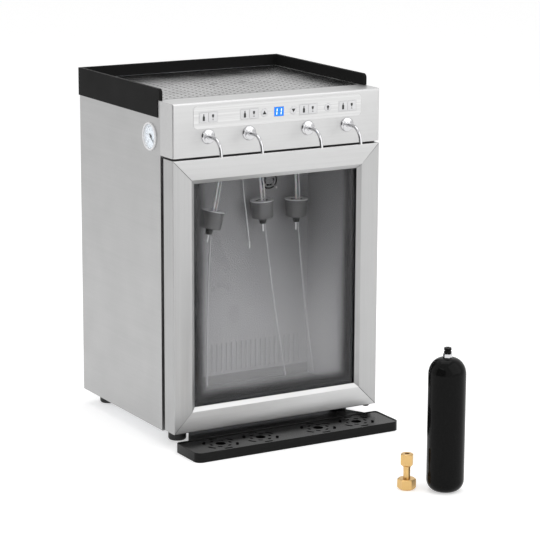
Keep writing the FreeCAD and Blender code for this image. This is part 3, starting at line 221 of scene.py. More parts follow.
def brushed_group():
    # Fine scratches lie over longer, softer bands, both drawn out one way.
    tree, start, end = new_group(
        "brushed_grain",
        [("Stretch", "NodeSocketVector", (1, 1, 1)), ("Depth", "NodeSocketFloat", 0.1)],
        [("Tone", "NodeSocketFloat"), ("Normal", "NodeSocketVector")])
    fine = mapped_noise(tree, start.outputs["Stretch"], 1.0, 3.0)
    broad = mapped_noise(tree, start.outputs["Stretch"], 0.12, 2.0)
    both = add(tree, "ShaderNodeMath", operation="ADD")
    spread = add(tree, "ShaderNodeMapRange")
    spread.inputs["From Min"].default_value = 0.65
    spread.inputs["From Max"].default_value = 1.35
    bump = add(tree, "ShaderNodeBump")
    bump.inputs["Distance"].default_value = 0.0002
    link(tree, fine.outputs["Fac"], both.inputs[0])
    link(tree, broad.outputs["Fac"], both.inputs[1])
    link(tree, both.outputs[0], spread.inputs["Value"])
    link(tree, spread.outputs[0], end.inputs["Tone"])
    link(tree, start.outputs["Depth"], bump.inputs["Strength"])
    link(tree, fine.outputs["Fac"], bump.inputs["Height"])
    link(tree, bump.outputs["Normal"], end.inputs["Normal"])
    return tree


def stipple_group():
    # A field of small soft bumps, such as orange peel, sprayed paint or rubber.
    tree, start, end = new_group(
        "stipple",
        [("Grain", "NodeSocketFloat", 400.0), ("Depth", "NodeSocketFloat", 0.2)],
        [("Mask", "NodeSocketFloat"), ("Normal", "NodeSocketVector")])
    place = add(tree, "ShaderNodeTexCoord")
    noise = add(tree, "ShaderNodeTexNoise")
    noise.inputs["Detail"].default_value = 2.0
    spread = add(tree, "ShaderNodeMapRange")
    spread.inputs["From Min"].default_value = 0.35
    spread.inputs["From Max"].default_value = 0.65
    bump = add(tree, "ShaderNodeBump")
    bump.inputs["Distance"].default_value = 0.0006
    link(tree, place.outputs["Object"], noise.inputs["Vector"])
    link(tree, start.outputs["Grain"], noise.inputs["Scale"])
    link(tree, noise.outputs["Fac"], spread.inputs["Value"])
    link(tree, spread.outputs[0], end.inputs["Mask"])
    link(tree, start.outputs["Depth"], bump.inputs["Strength"])
    link(tree, spread.outputs[0], bump.inputs["Height"])
    link(tree, bump.outputs["Normal"], end.inputs["Normal"])
    return tree


def handling_group():
    # Large soft patches move the roughness between two values.
    tree, start, end = new_group(
        "handling",
        [("Low", "NodeSocketFloat", 0.3), ("High", "NodeSocketFloat", 0.4)],
        [("Roughness", "NodeSocketFloat"), ("Mask", "NodeSocketFloat")])
    noise = mapped_noise(tree, None, 14.0, 4.0)
    spread = add(tree, "ShaderNodeMapRange")
    spread.inputs["From Min"].default_value = 0.3
    spread.inputs["From Max"].default_value = 0.7
    link(tree, noise.outputs["Fac"], spread.inputs["Value"])
    link(tree, start.outputs["Low"], spread.inputs["To Min"])
    link(tree, start.outputs["High"], spread.inputs["To Max"])
    link(tree, spread.outputs[0], end.inputs["Roughness"])
    link(tree, noise.outputs["Fac"], end.inputs["Mask"])
    return tree


BRUSHED = brushed_group()
STIPPLE = stipple_group()
HANDLING = handling_group()


def use_group(tree, group, **values):
    node = add(tree, "ShaderNodeGroup", node_tree=group)
    for key, value in values.items():
        node.inputs[key].default_value = value
    return node


def tinted(colour):
    # One number stands for a grey.
    return (colour, colour, colour, 1) if isinstance(colour, float) else (*colour, 1)


def blend_colours(tree, mask, dark, light):
    mix = add(tree, "ShaderNodeMix", data_type="RGBA")
    mix.inputs["A"].default_value = tinted(dark)
    mix.inputs["B"].default_value = tinted(light)
    link(tree, mask, mix.inputs["Factor"])
    return mix.outputs["Result"]


def new_material(name, low, high, metal=0.0):
    # A material whose roughness moves softly between two values.
    material = bpy.data.materials.new(name)
    material.use_nodes = True
    tree = material.node_tree
    shader = tree.nodes["Principled BSDF"]
    shader.inputs["Metallic"].default_value = metal
    gloss = use_group(tree, HANDLING, Low=low, High=high)
    gloss.name = "gloss"
    link(tree, gloss.outputs["Roughness"], shader.inputs["Roughness"])
    return material, tree, shader


def give_skin(tree, shader, mask, normal, dark, light):
    link(tree, blend_colours(tree, mask, dark, light), shader.inputs["Base Color"])
    link(tree, normal, shader.inputs["Normal"])


# %% [markdown]
# Brushed steel is one finish in three directions. Its grain is a noise that is
# stretched along the brushing, which also tints the metal a little. The head casing
# and the door's level bars are set lighter than the sides and the upright bars:
# painted light, where the front lamp falls on the same steel.

# %% Metals
GRAIN_FINE = 1500.0
GRAIN_LONG = 14.0


def brushed(name, along, dark, light, low=0.34, high=0.44, depth=0.10):
    material, tree, shader = new_material(name, low, high, 1.0)
    stretch = [GRAIN_FINE] * 3
    stretch["XYZ".index(along)] = GRAIN_LONG
    grain = use_group(tree, BRUSHED, Stretch=stretch, Depth=depth)
    give_skin(tree, shader, grain.outputs["Tone"], grain.outputs["Normal"], dark, light)
    return material


def plain_metal(name, dark, light, low, high, grain=900.0, depth=0.05):
    # Cast, plated or turned metal: a smooth surface with a faint uneven gloss.
    material, tree, shader = new_material(name, low, high, 1.0)
    surface = use_group(tree, STIPPLE, Grain=grain, Depth=depth)
    uneven = tree.nodes["gloss"].outputs["Mask"]
    give_skin(tree, shader, uneven, surface.outputs["Normal"], dark, light)
    return material


def moulded(name, dark, light, low, high, grain=700.0, depth=0.12, shine=0.5):
    # Plastic, rubber or paint: a stippled skin with a faint change of tone.
    material, tree, shader = new_material(name, low, high)
    surface = use_group(tree, STIPPLE, Grain=grain, Depth=depth)
    give_skin(tree, shader, surface.outputs["Mask"], surface.outputs["Normal"], dark, light)
    shader.inputs["Specular IOR Level"].default_value = shine
    return material


side_steel = brushed("side_steel", "Y", 0.42, 0.445)
head_steel_painted_light = brushed("head_steel_painted_light", "X", 0.50, 0.54)
bar_steel_level_painted_light = brushed("bar_steel_level_painted_light", "X", 0.47, 0.52)
bar_steel_upright_painted_shade = brushed("bar_steel_upright_painted_shade", "Z", 0.39, 0.43)
plate_steel = brushed("plate_steel", "X", 0.21, 0.25, 0.16, 0.24)
# The spill pan's steel is set near black: painted shade under the top grid.
pan_steel_painted_shade = brushed("pan_steel_painted_shade", "X", 0.02, 0.03)
zinc = plain_metal("zinc_sheet", (0.46, 0.47, 0.49), (0.60, 0.61, 0.63), 0.38, 0.55, 160.0)
chrome = plain_metal("chrome", (0.50, 0.50, 0.51), (0.58, 0.58, 0.59), 0.03, 0.07, 500.0, 0.01)
brass = plain_metal("brass", (0.62, 0.40, 0.15), (0.74, 0.50, 0.22), 0.30, 0.42, 800.0, 0.03)
aluminium = plain_metal("aluminium", (0.62, 0.62, 0.63), (0.72, 0.72, 0.73), 0.30, 0.42)
screw_steel = plain_metal("screw_steel", 0.55, 0.68, 0.20, 0.32)

# %% [markdown]
# The dark parts differ mostly in gloss. The guard rail is powder coated and
# satin, the tray and the gas cylinder are glossy, and rubber is dull.

# %% Plastics, paints and rubber
powder_black = moulded("powder_black", 0.009, 0.014, 0.42, 0.52, 1400.0, 0.10, 0.03)
tray_black = moulded("tray_black", 0.004, 0.007, 0.14, 0.22, 1200.0, 0.03, 0.12)
enamel_black = moulded("enamel_black", 0.004, 0.006, 0.08, 0.14, 300.0, 0.01, 0.07)
foot_rubber = moulded("foot_rubber", 0.010, 0.018, 0.55, 0.7)
seal_rubber = moulded("seal_rubber", 0.008, 0.014, 0.5, 0.6)
stopper_rubber = moulded("stopper_rubber", 0.08, 0.17, 0.42, 0.55, 800.0, 0.4)
plug_rubber = moulded("plug_rubber", 0.012, 0.03, 0.4, 0.5)
black_plastic = moulded("black_plastic", 0.012, 0.02, 0.35, 0.5)
liner_plastic = moulded("liner_plastic", (0.34, 0.34, 0.345), (0.40, 0.40, 0.405), 0.30, 0.42,
                        500.0, 0.10)
duct_paint = moulded("duct_paint", (0.25, 0.25, 0.255), (0.33, 0.33, 0.335), 0.26, 0.38,
                     420.0, 0.55)
foam_skin = moulded("foam_skin", (0.55, 0.47, 0.26), (0.72, 0.63, 0.40), 0.7, 0.9, 260.0, 0.6)
board_green = moulded("board_green", (0.01, 0.09, 0.03), (0.02, 0.16, 0.06), 0.3, 0.4, 90.0)
key_film = moulded("key_film", (0.66, 0.66, 0.67), (0.72, 0.72, 0.73), 0.22, 0.30, 1500.0, 0.04)
dial_card = moulded("dial_card", (0.70, 0.74, 0.80), (0.78, 0.82, 0.87), 0.4, 0.5, 900.0, 0.03)
ink = moulded("ink", 0.006, 0.012, 0.3, 0.4)
ink_red = moulded("ink_red", (0.55, 0.03, 0.03), (0.65, 0.06, 0.05), 0.3, 0.4)
hose_white = moulded("hose_white", (0.62, 0.64, 0.65), (0.78, 0.80, 0.80), 0.14, 0.24, 300.0,
                     0.03)
hose_shader = hose_white.node_tree.nodes["Principled BSDF"]
hose_shader.inputs["Subsurface Weight"].default_value = 0.3
hose_shader.inputs["Subsurface Scale"].default_value = 0.002
tube_smoke = moulded("tube_smoke", (0.40, 0.40, 0.41), (0.50, 0.50, 0.51), 0.2, 0.3)
# Pale satin for the stoppers' steel parts: a painted highlight for the glint of polished steel.
washer_painted_glint = moulded("washer_painted_glint", (0.80, 0.80, 0.81), (0.88, 0.88, 0.89), 0.10, 0.18,
                        500.0, 0.02)
lead_grey = moulded("lead_grey", (0.45, 0.45, 0.46), (0.60, 0.60, 0.61), 0.3, 0.4)


def clear_glass(name, tint):
    material, tree, shader = new_material(name, 0.0, 0.01)
    shader.inputs["Base Color"].default_value = (*tint, 1)
    shader.inputs["Transmission Weight"].default_value = 1.0
    shader.inputs["IOR"].default_value = 1.12
    return material


door_pane = clear_glass("door_pane", (0.95, 0.95, 0.955))
gauge_pane = clear_glass("gauge_pane", (0.98, 0.99, 0.99))
print("materials", len(bpy.data.materials))

# %% [markdown]
# Some solids have the right shape already. They keep it and get their finish.

# %% Finishes for the solids that stay
FINISH = {
    # The spill pan under the top grid is painted near black: painted shade.
    pan_steel_painted_shade: ["top_spill_pan"],
    zinc: ["base_pan", "cooling_module"],
    board_green: ["control_board"],
    black_plastic: ["display_module", "fan_frames", "fan_rotor_left", "fan_rotor_right",
                    "rear_fan_rotor"],
    brass: ["solenoid_valves"],
    dial_card: ["gauge_dial"],
    foam_skin: ["insulation"],
}
for material, names in FINISH.items():
    for node in names:
        solid = nodes[node]
        if not solid.data.materials:
            solid.data.materials.append(material)
        for slot in solid.material_slots:
            slot.material = material
print("finished", sum(len(names) for names in FINISH.values()))

# %% [markdown]
# Hoses come next, because they decide what else fits. Each is a smooth curve
# with a round section: the wine runs from the tap's valve over the foam and down
# to its stopper, and the gas beside it in a thinner hose.

# %% Hoses and the probe's lead
TAP_X = [-151.0, -64.0, 64.0, 151.0]
TAP_Z = 597.0
BARB_END = 54.0
BOTTLE_X = [-132.0, -44.0, 44.0, 132.0]
STOPPER_Y = 150.0
STOPPER_TOP = 430.0
STOPPER_TILT = [5.0, 12.4, -3.5, 0.6]
STOPPER_DRIFT = [0.0, -16.0, 5.0, -4.0]
STOPPER_LIFT = [-3.0, -8.0, 3.0, -1.0]
STOPPER_WELL = 6.0
HOSE_BOW = [-3.0, -3.5, -0.8, -7.5]
HOSE_MIDDLE_Z = 484.0
FOAM_TOP = 575.0
CAVITY_TOP = 528.0
HOSE_STRAIGHT = 14.0
MANIFOLD_Z = 598.0
NIPPLE_Y = 192.0
GAS_ASIDE = 7.0
WINE_DIAMETER = 5.0
GAS_DIAMETER = 3.2
LEAD_DIAMETER = 2.0


def stopper_point(i, x, z):
    # A point given from the middle of a stopper's top, as its tilt carries it.
    angle = math.radians(STOPPER_TILT[i])
    across = x * math.cos(angle) + z * math.sin(angle)
    upward = z * math.cos(angle) - x * math.sin(angle)
    return Vector((BOTTLE_X[i] + STOPPER_DRIFT[i] + across, STOPPER_Y,
                   STOPPER_TOP + STOPPER_LIFT[i] + upward))


def hose_end(i, aside):
    bow = Vector((BOTTLE_X[i] + HOSE_BOW[i] + aside, STOPPER_Y, HOSE_MIDDLE_Z))
    return [bow, stopper_point(i, aside, 24), stopper_point(i, aside, -STOPPER_WELL)]


def wine_route(i):
    tap = TAP_X[i]
    x = BOTTLE_X[i]
    over = [Vector((tap, BARB_END, TAP_Z)), Vector((tap, BARB_END + 28, TAP_Z + 1)),
            Vector((tap + (x - tap) * 0.75, STOPPER_Y - 32, FOAM_TOP + 29)),
            Vector((x, STOPPER_Y, FOAM_TOP + 11)),
            Vector((x + 0.2, STOPPER_Y, CAVITY_TOP - HOSE_STRAIGHT))]
    return over + hose_end(i, 0)


def gas_route(i):
    x = BOTTLE_X[i] + GAS_ASIDE
    over = [Vector((x, NIPPLE_Y, MANIFOLD_Z)), Vector((x, NIPPLE_Y - 20, MANIFOLD_Z)),
            Vector((x, STOPPER_Y, MANIFOLD_Z - 14)),
            Vector((x + 0.2, STOPPER_Y, CAVITY_TOP - HOSE_STRAIGHT))]
    return over + hose_end(i, GAS_ASIDE)


def probe_route():
    x = -14.0
    y = STOPPER_Y - 32
    return [Vector((x, y, FOAM_TOP)), Vector((x + 0.2, y, FOAM_TOP - 38)),
            Vector((x + 1, y, 500)), Vector((x + 5, y, 456)), Vector((x + 11, y, 410)),
            Vector((x + 17, y, 362))]


def hose(name, points, diameter, material):
    # A round section along one smooth spline, with its ends at the outer points.
    data = bpy.data.curves.new(name, "CURVE")
    data.dimensions = "3D"
    data.bevel_depth = diameter * MM / 2
    data.bevel_resolution = 6
    data.resolution_u = 16
    data.use_fill_caps = True
    spline = data.splines.new("NURBS")
    spline.points.add(len(points) - 1)
    for knot, point in zip(spline.points, points):
        knot.co = (*(point * MM), 1)
    spline.order_u = 3
    spline.use_endpoint_u = True
    thing = bpy.data.objects.new(name, data)
    scene.collection.objects.link(thing)
    data.materials.append(material)
    return thing


def declare(thing, node):
    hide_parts(node)
    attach(thing, "cabinet")


for i in range(4):
    wine = hose("wine_hose_%d" % (i + 1), wine_route(i), WINE_DIAMETER, hose_white)
    declare(wine,
            "wine_hoses")
for i in range(4):
    gas = hose("gas_hose_%d" % (i + 1), gas_route(i), GAS_DIAMETER, hose_white)
    declare(gas, "gas_hoses")
probe_lead = hose("probe_lead_wire", probe_route(), LEAD_DIAMETER, lead_grey)
declare(probe_lead, "probe_lead")

# %% [markdown]
# Folded sheet and pressed plastic are never quite sharp: each edge has a small
# radius that catches a line of light. A copy of the engineering solid has its
# loose triangles merged into faces, and a narrow bevel rounds the edges.

# %% A copy of a solid with soft edges
WELD = 0.00001


def into_edit(thing):
    activate(thing)
    bpy.ops.object.mode_set(mode="EDIT")
    bpy.ops.mesh.select_all(action="SELECT")


def apply_modifiers(thing):
    activate(thing)
    for modifier in list(thing.modifiers):
        bpy.ops.object.modifier_apply(modifier=modifier.name)


def apply_place(thing):
    activate(thing)
    bpy.ops.object.transform_apply(location=True, rotation=True, scale=True)


def round_edges(thing, width, segments=2):
    bevel = thing.modifiers.new("round_edges", "BEVEL")
    bevel.width = width * MM
    bevel.segments = segments
    bevel.limit_method = "ANGLE"
    bevel.angle_limit = math.radians(30)
    bevel.harden_normals = True
    apply_modifiers(thing)


def smooth(thing, angle=35):
    activate(thing)
    bpy.ops.object.shade_smooth_by_angle(angle=math.radians(angle))


def place_in_model(thing, material, slot, body, *replaced):
    # Gives a piece its finish and the body that it moves with, and hides the solids it replaces.
    thing.data.materials.clear()
    thing.data.materials.append(material)
    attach(thing, body)
    if replaced:
        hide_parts(*replaced)
    return thing


def copy_of_node(node, name):
    thing = bpy.data.objects.new(name, nodes[node].data.copy())
    scene.collection.objects.link(thing)
    into_edit(thing)
    bpy.ops.mesh.remove_doubles(threshold=WELD)
    return thing


def softened(node, material, slot, body, width, segments=2):
    thing = copy_of_node(node, node + "_soft")
    bpy.ops.mesh.dissolve_limited(angle_limit=math.radians(0.5))
    smooth(thing)
    round_edges(thing, width, segments)
    return place_in_model(thing, material, slot, body, node)


# %% [markdown]
# The cabinet's skins are thin brushed steel, so their edges get a radius of a
# quarter of a millimetre. The guard rail is powder coated, which rounds it more.

# %% Cabinet skins
for node in ("side_panel_left", "side_panel_right"):
    softened(node, side_steel, "cabinet_steel", "cabinet", 0.25)
# The head's steel is set lighter than the sides': painted light.
softened("head_casing", head_steel_painted_light, "cabinet_steel", "cabinet", 0.25)
softened("guard_rail", powder_black, "black_steel", "cabinet", 0.6, 3)
softened("back_panel", zinc, "zinc_sheet", "cabinet", 0.25)
softened("hinge_brackets", powder_black, "black_steel", "cabinet", 0.4)

# %% [markdown]
# Four extruded profiles make the door's frame and meet at 45 degrees. The grain
# runs along each bar, so the level and the upright bars have their own steel. The
# level bars are also set lighter and the upright bars darker: painted light and
# painted shade.

# %% The door's frame
# The level bars' steel is set lighter: painted light.
for node in ("door_rail_top", "door_rail_bottom"):
    softened(node, bar_steel_level_painted_light, "cabinet_steel", "door", 0.35, 3)
# The upright bars' steel is set darker: painted shade.
for node in ("door_stile_left", "door_stile_right"):
    softened(node, bar_steel_upright_painted_shade, "cabinet_steel", "door", 0.35, 3)
softened("door_gasket", seal_rubber, "seal_black", "door", 0.8, 3)

# %% [markdown]
# The glass is a sealed unit: two panes, 4 mm each, held apart by a spacer. Each
# pane is a cube stretched to size, with ground edges from a bevel. The spacer
# starts as a flat sheet whose rim is inset, cut out and drawn to its depth.

# %% Two panes and their spacer
GLASS_X = 190.0
GLASS_LOW = 67.0
GLASS_HIGH = 521.0
GLASS_FRONT = 8.0
PANE = 4.0
PANE_GAP = 12.0
SPACER_WIDTH = 8.0


def slab(name, low, high):
    # A cube moved and stretched in edit mode, so its object stays at the origin.
    clear()
    bpy.ops.mesh.primitive_cube_add(size=1)
    thing = bpy.context.object
    thing.name = name
    size = [(b - a) * MM for a, b in zip(low, high)]
    middle = [(a + b) / 2 * MM for a, b in zip(low, high)]
    into_edit(thing)
    bpy.ops.transform.resize(value=size)
    bpy.ops.transform.translate(value=middle)
    clear()
    return thing


INNER_FRONT = GLASS_FRONT + PANE + PANE_GAP
for name, front in (("door_pane_outer", GLASS_FRONT), ("door_pane_inner", INNER_FRONT)):
    sheet = slab(name, (-GLASS_X, front, GLASS_LOW), (GLASS_X, front + PANE, GLASS_HIGH))
    round_edges(sheet, 0.7)
    place_in_model(sheet, door_pane, "door_glass", "door", "door_glass")
    sheet.visible_shadow = False


def extrude(x, y, z):
    # Draws the selection out by a distance in millimetres.
    bpy.ops.mesh.extrude_region_move(TRANSFORM_OT_translate={"value": (x * MM, y * MM, z * MM)})


def pick(thing, test):
    # Selects in edit mode the faces whose middle and normal pass the test.
    mesh = bmesh.from_edit_mesh(thing.data)
    bpy.ops.mesh.select_all(action="DESELECT")
    bpy.context.tool_settings.mesh_select_mode = (False, False, True)
    for face in mesh.faces:
        face.select = test(face.calc_center_median(), face.normal)
    mesh.select_flush_mode()
    bmesh.update_edit_mesh(thing.data)
    return sum(face.select for face in mesh.faces)


def flat_frame(name, low, high, y, width, depth):
    # An upright sheet facing -Y, inset by the width, opened, and drawn back.
    clear()
    bpy.ops.mesh.primitive_plane_add(size=1, rotation=(math.pi / 2, 0, 0))
    thing = bpy.context.object
    thing.name = name
    apply_place(thing)
    into_edit(thing)
    bpy.ops.transform.resize(value=((high[0] - low[0]) * MM, 1, (high[1] - low[1]) * MM))
    bpy.ops.transform.translate(value=((low[0] + high[0]) / 2 * MM, y * MM,
                                       (low[1] + high[1]) / 2 * MM))
    bpy.ops.mesh.inset(thickness=width * MM, depth=0)
    bpy.ops.mesh.delete(type="FACE")
    bpy.ops.mesh.select_all(action="SELECT")
    extrude(0, depth, 0)
    bpy.ops.mesh.select_all(action="SELECT")
    bpy.ops.mesh.normals_make_consistent(inside=False)
    clear()
    return thing


spacer = flat_frame("door_spacer", (-GLASS_X, GLASS_LOW), (GLASS_X, GLASS_HIGH),
                    GLASS_FRONT + PANE, SPACER_WIDTH, PANE_GAP)
round_edges(spacer, 0.5)
spacer_grey = moulded("spacer_grey", (0.07, 0.07, 0.072), (0.10, 0.10, 0.102), 0.3, 0.4)
place_in_model(spacer, spacer_grey, "seal_black", "door", "door_glass")

# %% [markdown]
# Black ceramic ink covers the edge of the glass and fades out, to hide the glue.
# It is a thin frame whose alpha falls with the distance to the edge, which the
# material works out from Object coordinates.

# %% The printed edge of the glass
PRINT_WIDTH = 46.0
PRINT_FADE = 32.0
RIM_COVERED = 12.0
ABOVE_GLASS = 40.0


def fade_alpha(tree, shader, socket, start, end, strong, weak):
    ramp = add(tree, "ShaderNodeMapRange", interpolation_type="SMOOTHSTEP")
    for label, value in (("From Min", start * MM), ("From Max", end * MM), ("To Min", strong),
                         ("To Max", weak)):
        ramp.inputs[label].default_value = value
    link(tree, socket, ramp.inputs["Value"])
    link(tree, ramp.outputs[0], shader.inputs["Alpha"])


def object_axes(tree):
    split = add(tree, "ShaderNodeSeparateXYZ")
    link(tree, add(tree, "ShaderNodeTexCoord").outputs["Object"], split.inputs[0])
    return split.outputs


def distance_inside(tree, socket, middle, half):
    # How far a coordinate lies inside the two edges at half from the middle.
    shifted = add(tree, "ShaderNodeMath", operation="SUBTRACT")
    shifted.inputs[1].default_value = middle * MM
    size = add(tree, "ShaderNodeMath", operation="ABSOLUTE")
    left = add(tree, "ShaderNodeMath", operation="SUBTRACT")
    left.inputs[0].default_value = half * MM
    link(tree, socket, shifted.inputs[0])
    link(tree, shifted.outputs[0], size.inputs[0])
    link(tree, size.outputs[0], left.inputs[1])
    return left.outputs[0]


def edge_print(name, half_width, low, high):
    material, tree, shader = new_material(name, 0.3, 0.45)
    axes = object_axes(tree)
    nearest = add(tree, "ShaderNodeMath", operation="MINIMUM")
    link(tree, distance_inside(tree, axes["X"], 0, half_width), nearest.inputs[0])
    link(tree, distance_inside(tree, axes["Z"], (low + high) / 2, (high - low) / 2),
         nearest.inputs[1])
    fade_alpha(tree, shader, nearest.outputs[0], 0.0, PRINT_FADE, 0.97, 0.0)
    shader.inputs["Base Color"].default_value = (0.006, 0.006, 0.007, 1)
    return material


glass_print = edge_print("glass_print", GLASS_X - RIM_COVERED, GLASS_LOW + RIM_COVERED,
                         GLASS_HIGH + ABOVE_GLASS)
printed = flat_frame("door_glass_print", (-GLASS_X + 2, GLASS_LOW + 2),
                     (GLASS_X - 2, GLASS_HIGH - 2), GLASS_FRONT + PANE + 0.05, PRINT_WIDTH, 0.1)
place_in_model(printed, glass_print, "seal_black", "door")

# %% [markdown]
# Taps, knobs and stoppers are turned on a lathe. In Blender the same shape comes
# from half an outline: one point is drawn out from place to place, and the line
# is spun round its axis. That gives cleaner faces than piling up cylinders.

# %% Drawing an outline and turning it
OUTLINE_WELD = 0.000002
SIDE_OF = {"X": Vector((0, 1, 0)), "Y": Vector((1, 0, 0)), "Z": Vector((1, 0, 0))}
ALONG = {"X": Vector((1, 0, 0)), "Y": Vector((0, 1, 0)), "Z": Vector((0, 0, 1))}


def draw_outline(name, points):
    # A tiny plane is merged to one point, which is extruded from place to place.
    clear()
    bpy.ops.mesh.primitive_plane_add(size=MM)
    thing = bpy.context.object
    thing.name = name
    into_edit(thing)
    bpy.context.tool_settings.mesh_select_mode = (True, False, False)
    bpy.ops.mesh.merge(type="CENTER")
    bpy.ops.transform.translate(value=points[0] * MM)
    for before, after in zip(points, points[1:]):
        extrude(*(after - before))
    bpy.ops.mesh.select_all(action="SELECT")
    return thing


def clean_shell():
    bpy.ops.mesh.select_all(action="SELECT")
    bpy.ops.mesh.remove_doubles(threshold=OUTLINE_WELD)
    bpy.ops.mesh.normals_make_consistent(inside=False)
    clear()


def lathe(name, outline, centre, axis, steps=48):
    # The outline is given as radius and place along the axis.
    points = [centre + SIDE_OF[axis] * radius + ALONG[axis] * along for radius, along in outline]
    thing = draw_outline(name, points)
    bpy.ops.mesh.spin(steps=steps, angle=math.tau, center=centre * MM, axis=ALONG[axis])
    clean_shell()
    smooth(thing)
    return thing


def filled(name, points, x, y, z):
    # A closed outline, filled and drawn out to a thin plate.
    thing = draw_outline(name, points + [points[0]])
    bpy.ops.mesh.remove_doubles(threshold=OUTLINE_WELD)
    bpy.ops.mesh.edge_face_add()
    extrude(x, y, z)
    clean_shell()
    return thing


def copied(thing, name, shift):
    # A copy with its own mesh, moved in edit mode.
    other = bpy.data.objects.new(name, thing.data.copy())
    scene.collection.objects.link(other)
    into_edit(other)
    bpy.ops.transform.translate(value=shift * MM)
    clear()
    return other


def one_per_tap(first, label):
    # The first of four like pieces, and a copy at each other tap.
    return [first] + [copied(first, "%s_%d" % (label, i + 1), Vector((TAP_X[i] - TAP_X[0], 0, 0)))
                      for i in range(1, 4)]


# %% [markdown]
# A polished rosette covers the hole where each tap leaves the head. The disc,
# its rounded rim and the small hub are one outline, closed on itself because
# the spout passes through.

# %% The four rosettes
SPOUT_RADIUS = 3.3
ROSETTE = [(3.3, 0), (14.0, 0), (14.0, -1.2), (13.7, -2.2), (12.9, -3.1), (11.8, -3.7),
           (10.4, -4.0), (5.6, -4.1), (4.9, -4.3), (4.7, -4.7), (4.7, -5.7), (4.5, -6.2),
           (4.0, -6.5), (3.3, -6.5), (3.3, 0)]
first_rosette = lathe("tap_rosette_1", ROSETTE, Vector((TAP_X[0], 0, TAP_Z)), "Y", 64)
for rosette in one_per_tap(first_rosette, "tap_rosette"):
    place_in_model(rosette, chrome, "chrome", "cabinet", "tap_rosettes")

# %% [markdown]
# Each spout is a bent steel tube. A disc is extruded forwards, spun down round
# the bend's centre and extruded again. Its end face is inset and pushed back
# in, so the mouth is hollow.

# %% The four spouts
SPOUT_STRAIGHT = 22.0
SPOUT_BEND = 27.0
SPOUT_TURN = math.radians(78)
SPOUT_DROP = 10.5
SPOUT_WALL = 1.0
MOUTH_DEPTH = 8.0


clear()
bpy.ops.mesh.primitive_circle_add(radius=SPOUT_RADIUS * MM, vertices=28, fill_type="NGON",
                                  rotation=(math.pi / 2, 0, 0),
                                  location=Vector((TAP_X[0], 1, TAP_Z)) * MM)
spout = bpy.context.object
spout.name = "tap_spout_1"
apply_place(spout)
into_edit(spout)
extrude(0, -SPOUT_STRAIGHT - 1, 0)
bend_centre = Vector((TAP_X[0], -SPOUT_STRAIGHT, TAP_Z - SPOUT_BEND))
bpy.ops.mesh.spin(steps=18, angle=SPOUT_TURN, center=bend_centre * MM, axis=(-1, 0, 0))
down = Vector((0, -math.cos(SPOUT_TURN), -math.sin(SPOUT_TURN)))
extrude(*(down * SPOUT_DROP))
bpy.ops.mesh.inset(thickness=SPOUT_WALL * MM, depth=0)
extrude(*(down * -MOUTH_DEPTH))
clean_shell()
smooth(spout, 40)
for thing in one_per_tap(spout, "tap_spout"):
    place_in_model(thing, chrome, "chrome", "cabinet", "tap_spouts")

# %% [markdown]
# The front of the head carries a satin film with faint level stripes. The keys
# stand half a millimetre proud of it. A thin printed line frames each pair, and
# the signs on the keys are flat black shapes, drawn as outlines and filled.

# %% The film and the keys
KEY_Z = 633.0
KEY_PITCH = 19.4
KEY_FRONT = -1.3
FILM_FRONT = -0.8
ARROW_X = 31.5
LIGHT_X = 107.5


def striped_film(name, dark, light, stripe):
    material, tree, shader = new_material(name, 0.28, 0.36)
    place = add(tree, "ShaderNodeTexCoord")
    mapping = add(tree, "ShaderNodeMapping")
    mapping.inputs["Scale"].default_value = (2.0, 1.0, 420.0)
    noise = add(tree, "ShaderNodeTexNoise")
    noise.inputs["Scale"].default_value = 1.0
    noise.inputs["Detail"].default_value = 1.0
    spread = add(tree, "ShaderNodeMapRange")
    spread.inputs["From Min"].default_value = 0.62 - stripe
    spread.inputs["From Max"].default_value = 0.62
    link(tree, place.outputs["Object"], mapping.inputs["Vector"])
    link(tree, mapping.outputs["Vector"], noise.inputs["Vector"])
    link(tree, noise.outputs["Fac"], spread.inputs["Value"])
    link(tree, blend_colours(tree, spread.outputs[0], dark, light), shader.inputs["Base Color"])
    return material


overlay_film = striped_film("overlay_film", 0.70, 0.80, 0.16)
softened("control_overlay", overlay_film, "overlay_film", "cabinet", 0.15)
for node in [n for n in nodes if n.startswith("key_")]:
    softened(node, key_film, "key_plastic", node + "_cap", 0.12, 1)

# %% Lines round the pairs of keys
PAIR_HALF_WIDTH = 20.4
PAIR_HALF_HEIGHT = 10.7
LINE = 0.45
film_line = moulded("film_line", (0.50, 0.50, 0.51), (0.56, 0.56, 0.57), 0.4, 0.5)
first_frame = flat_frame("key_frame_1", (TAP_X[0] - PAIR_HALF_WIDTH, KEY_Z - PAIR_HALF_HEIGHT),
                         (TAP_X[0] + PAIR_HALF_WIDTH, KEY_Z + PAIR_HALF_HEIGHT),
                         FILM_FRONT - 0.04, LINE, 0.05)
for thing in one_per_tap(first_frame, "key_frame"):
    place_in_model(thing, film_line, "overlay_film", "cabinet")

# %% Signs on the keys
BOTTLE_SIGN = [(0, -6.2), (2.1, -6.2), (2.3, -5.9), (2.3, 0.4), (2.1, 1.4), (1.2, 2.9), (0.9, 3.6),
               (0.9, 5.5), (1.1, 5.6), (1.1, 6.4), (0, 6.4)]
GLASS_SIGN = [(0, -5.8), (1.9, -5.8), (1.9, -5.3), (0.35, -5.0), (0.3, -1.3), (1.4, -0.4),
              (2.1, 0.9), (2.3, 2.4), (2.0, 4.9), (0, 4.9)]
ARROW_SIGN = [(0, -3.2), (4.3, -3.2), (0, 4.0)]
SIGN_DEPTH = 0.07


def sign(name, half, x, upside=1):
    # Half an outline is mirrored, drawn, filled and given a little depth.
    other = [(-a, b) for a, b in reversed(half) if a > 0]
    points = [Vector((x + a, KEY_FRONT + 0.01, KEY_Z + b * upside)) for a, b in half + other]
    return filled(name, points, 0, -SIGN_DEPTH, 0)


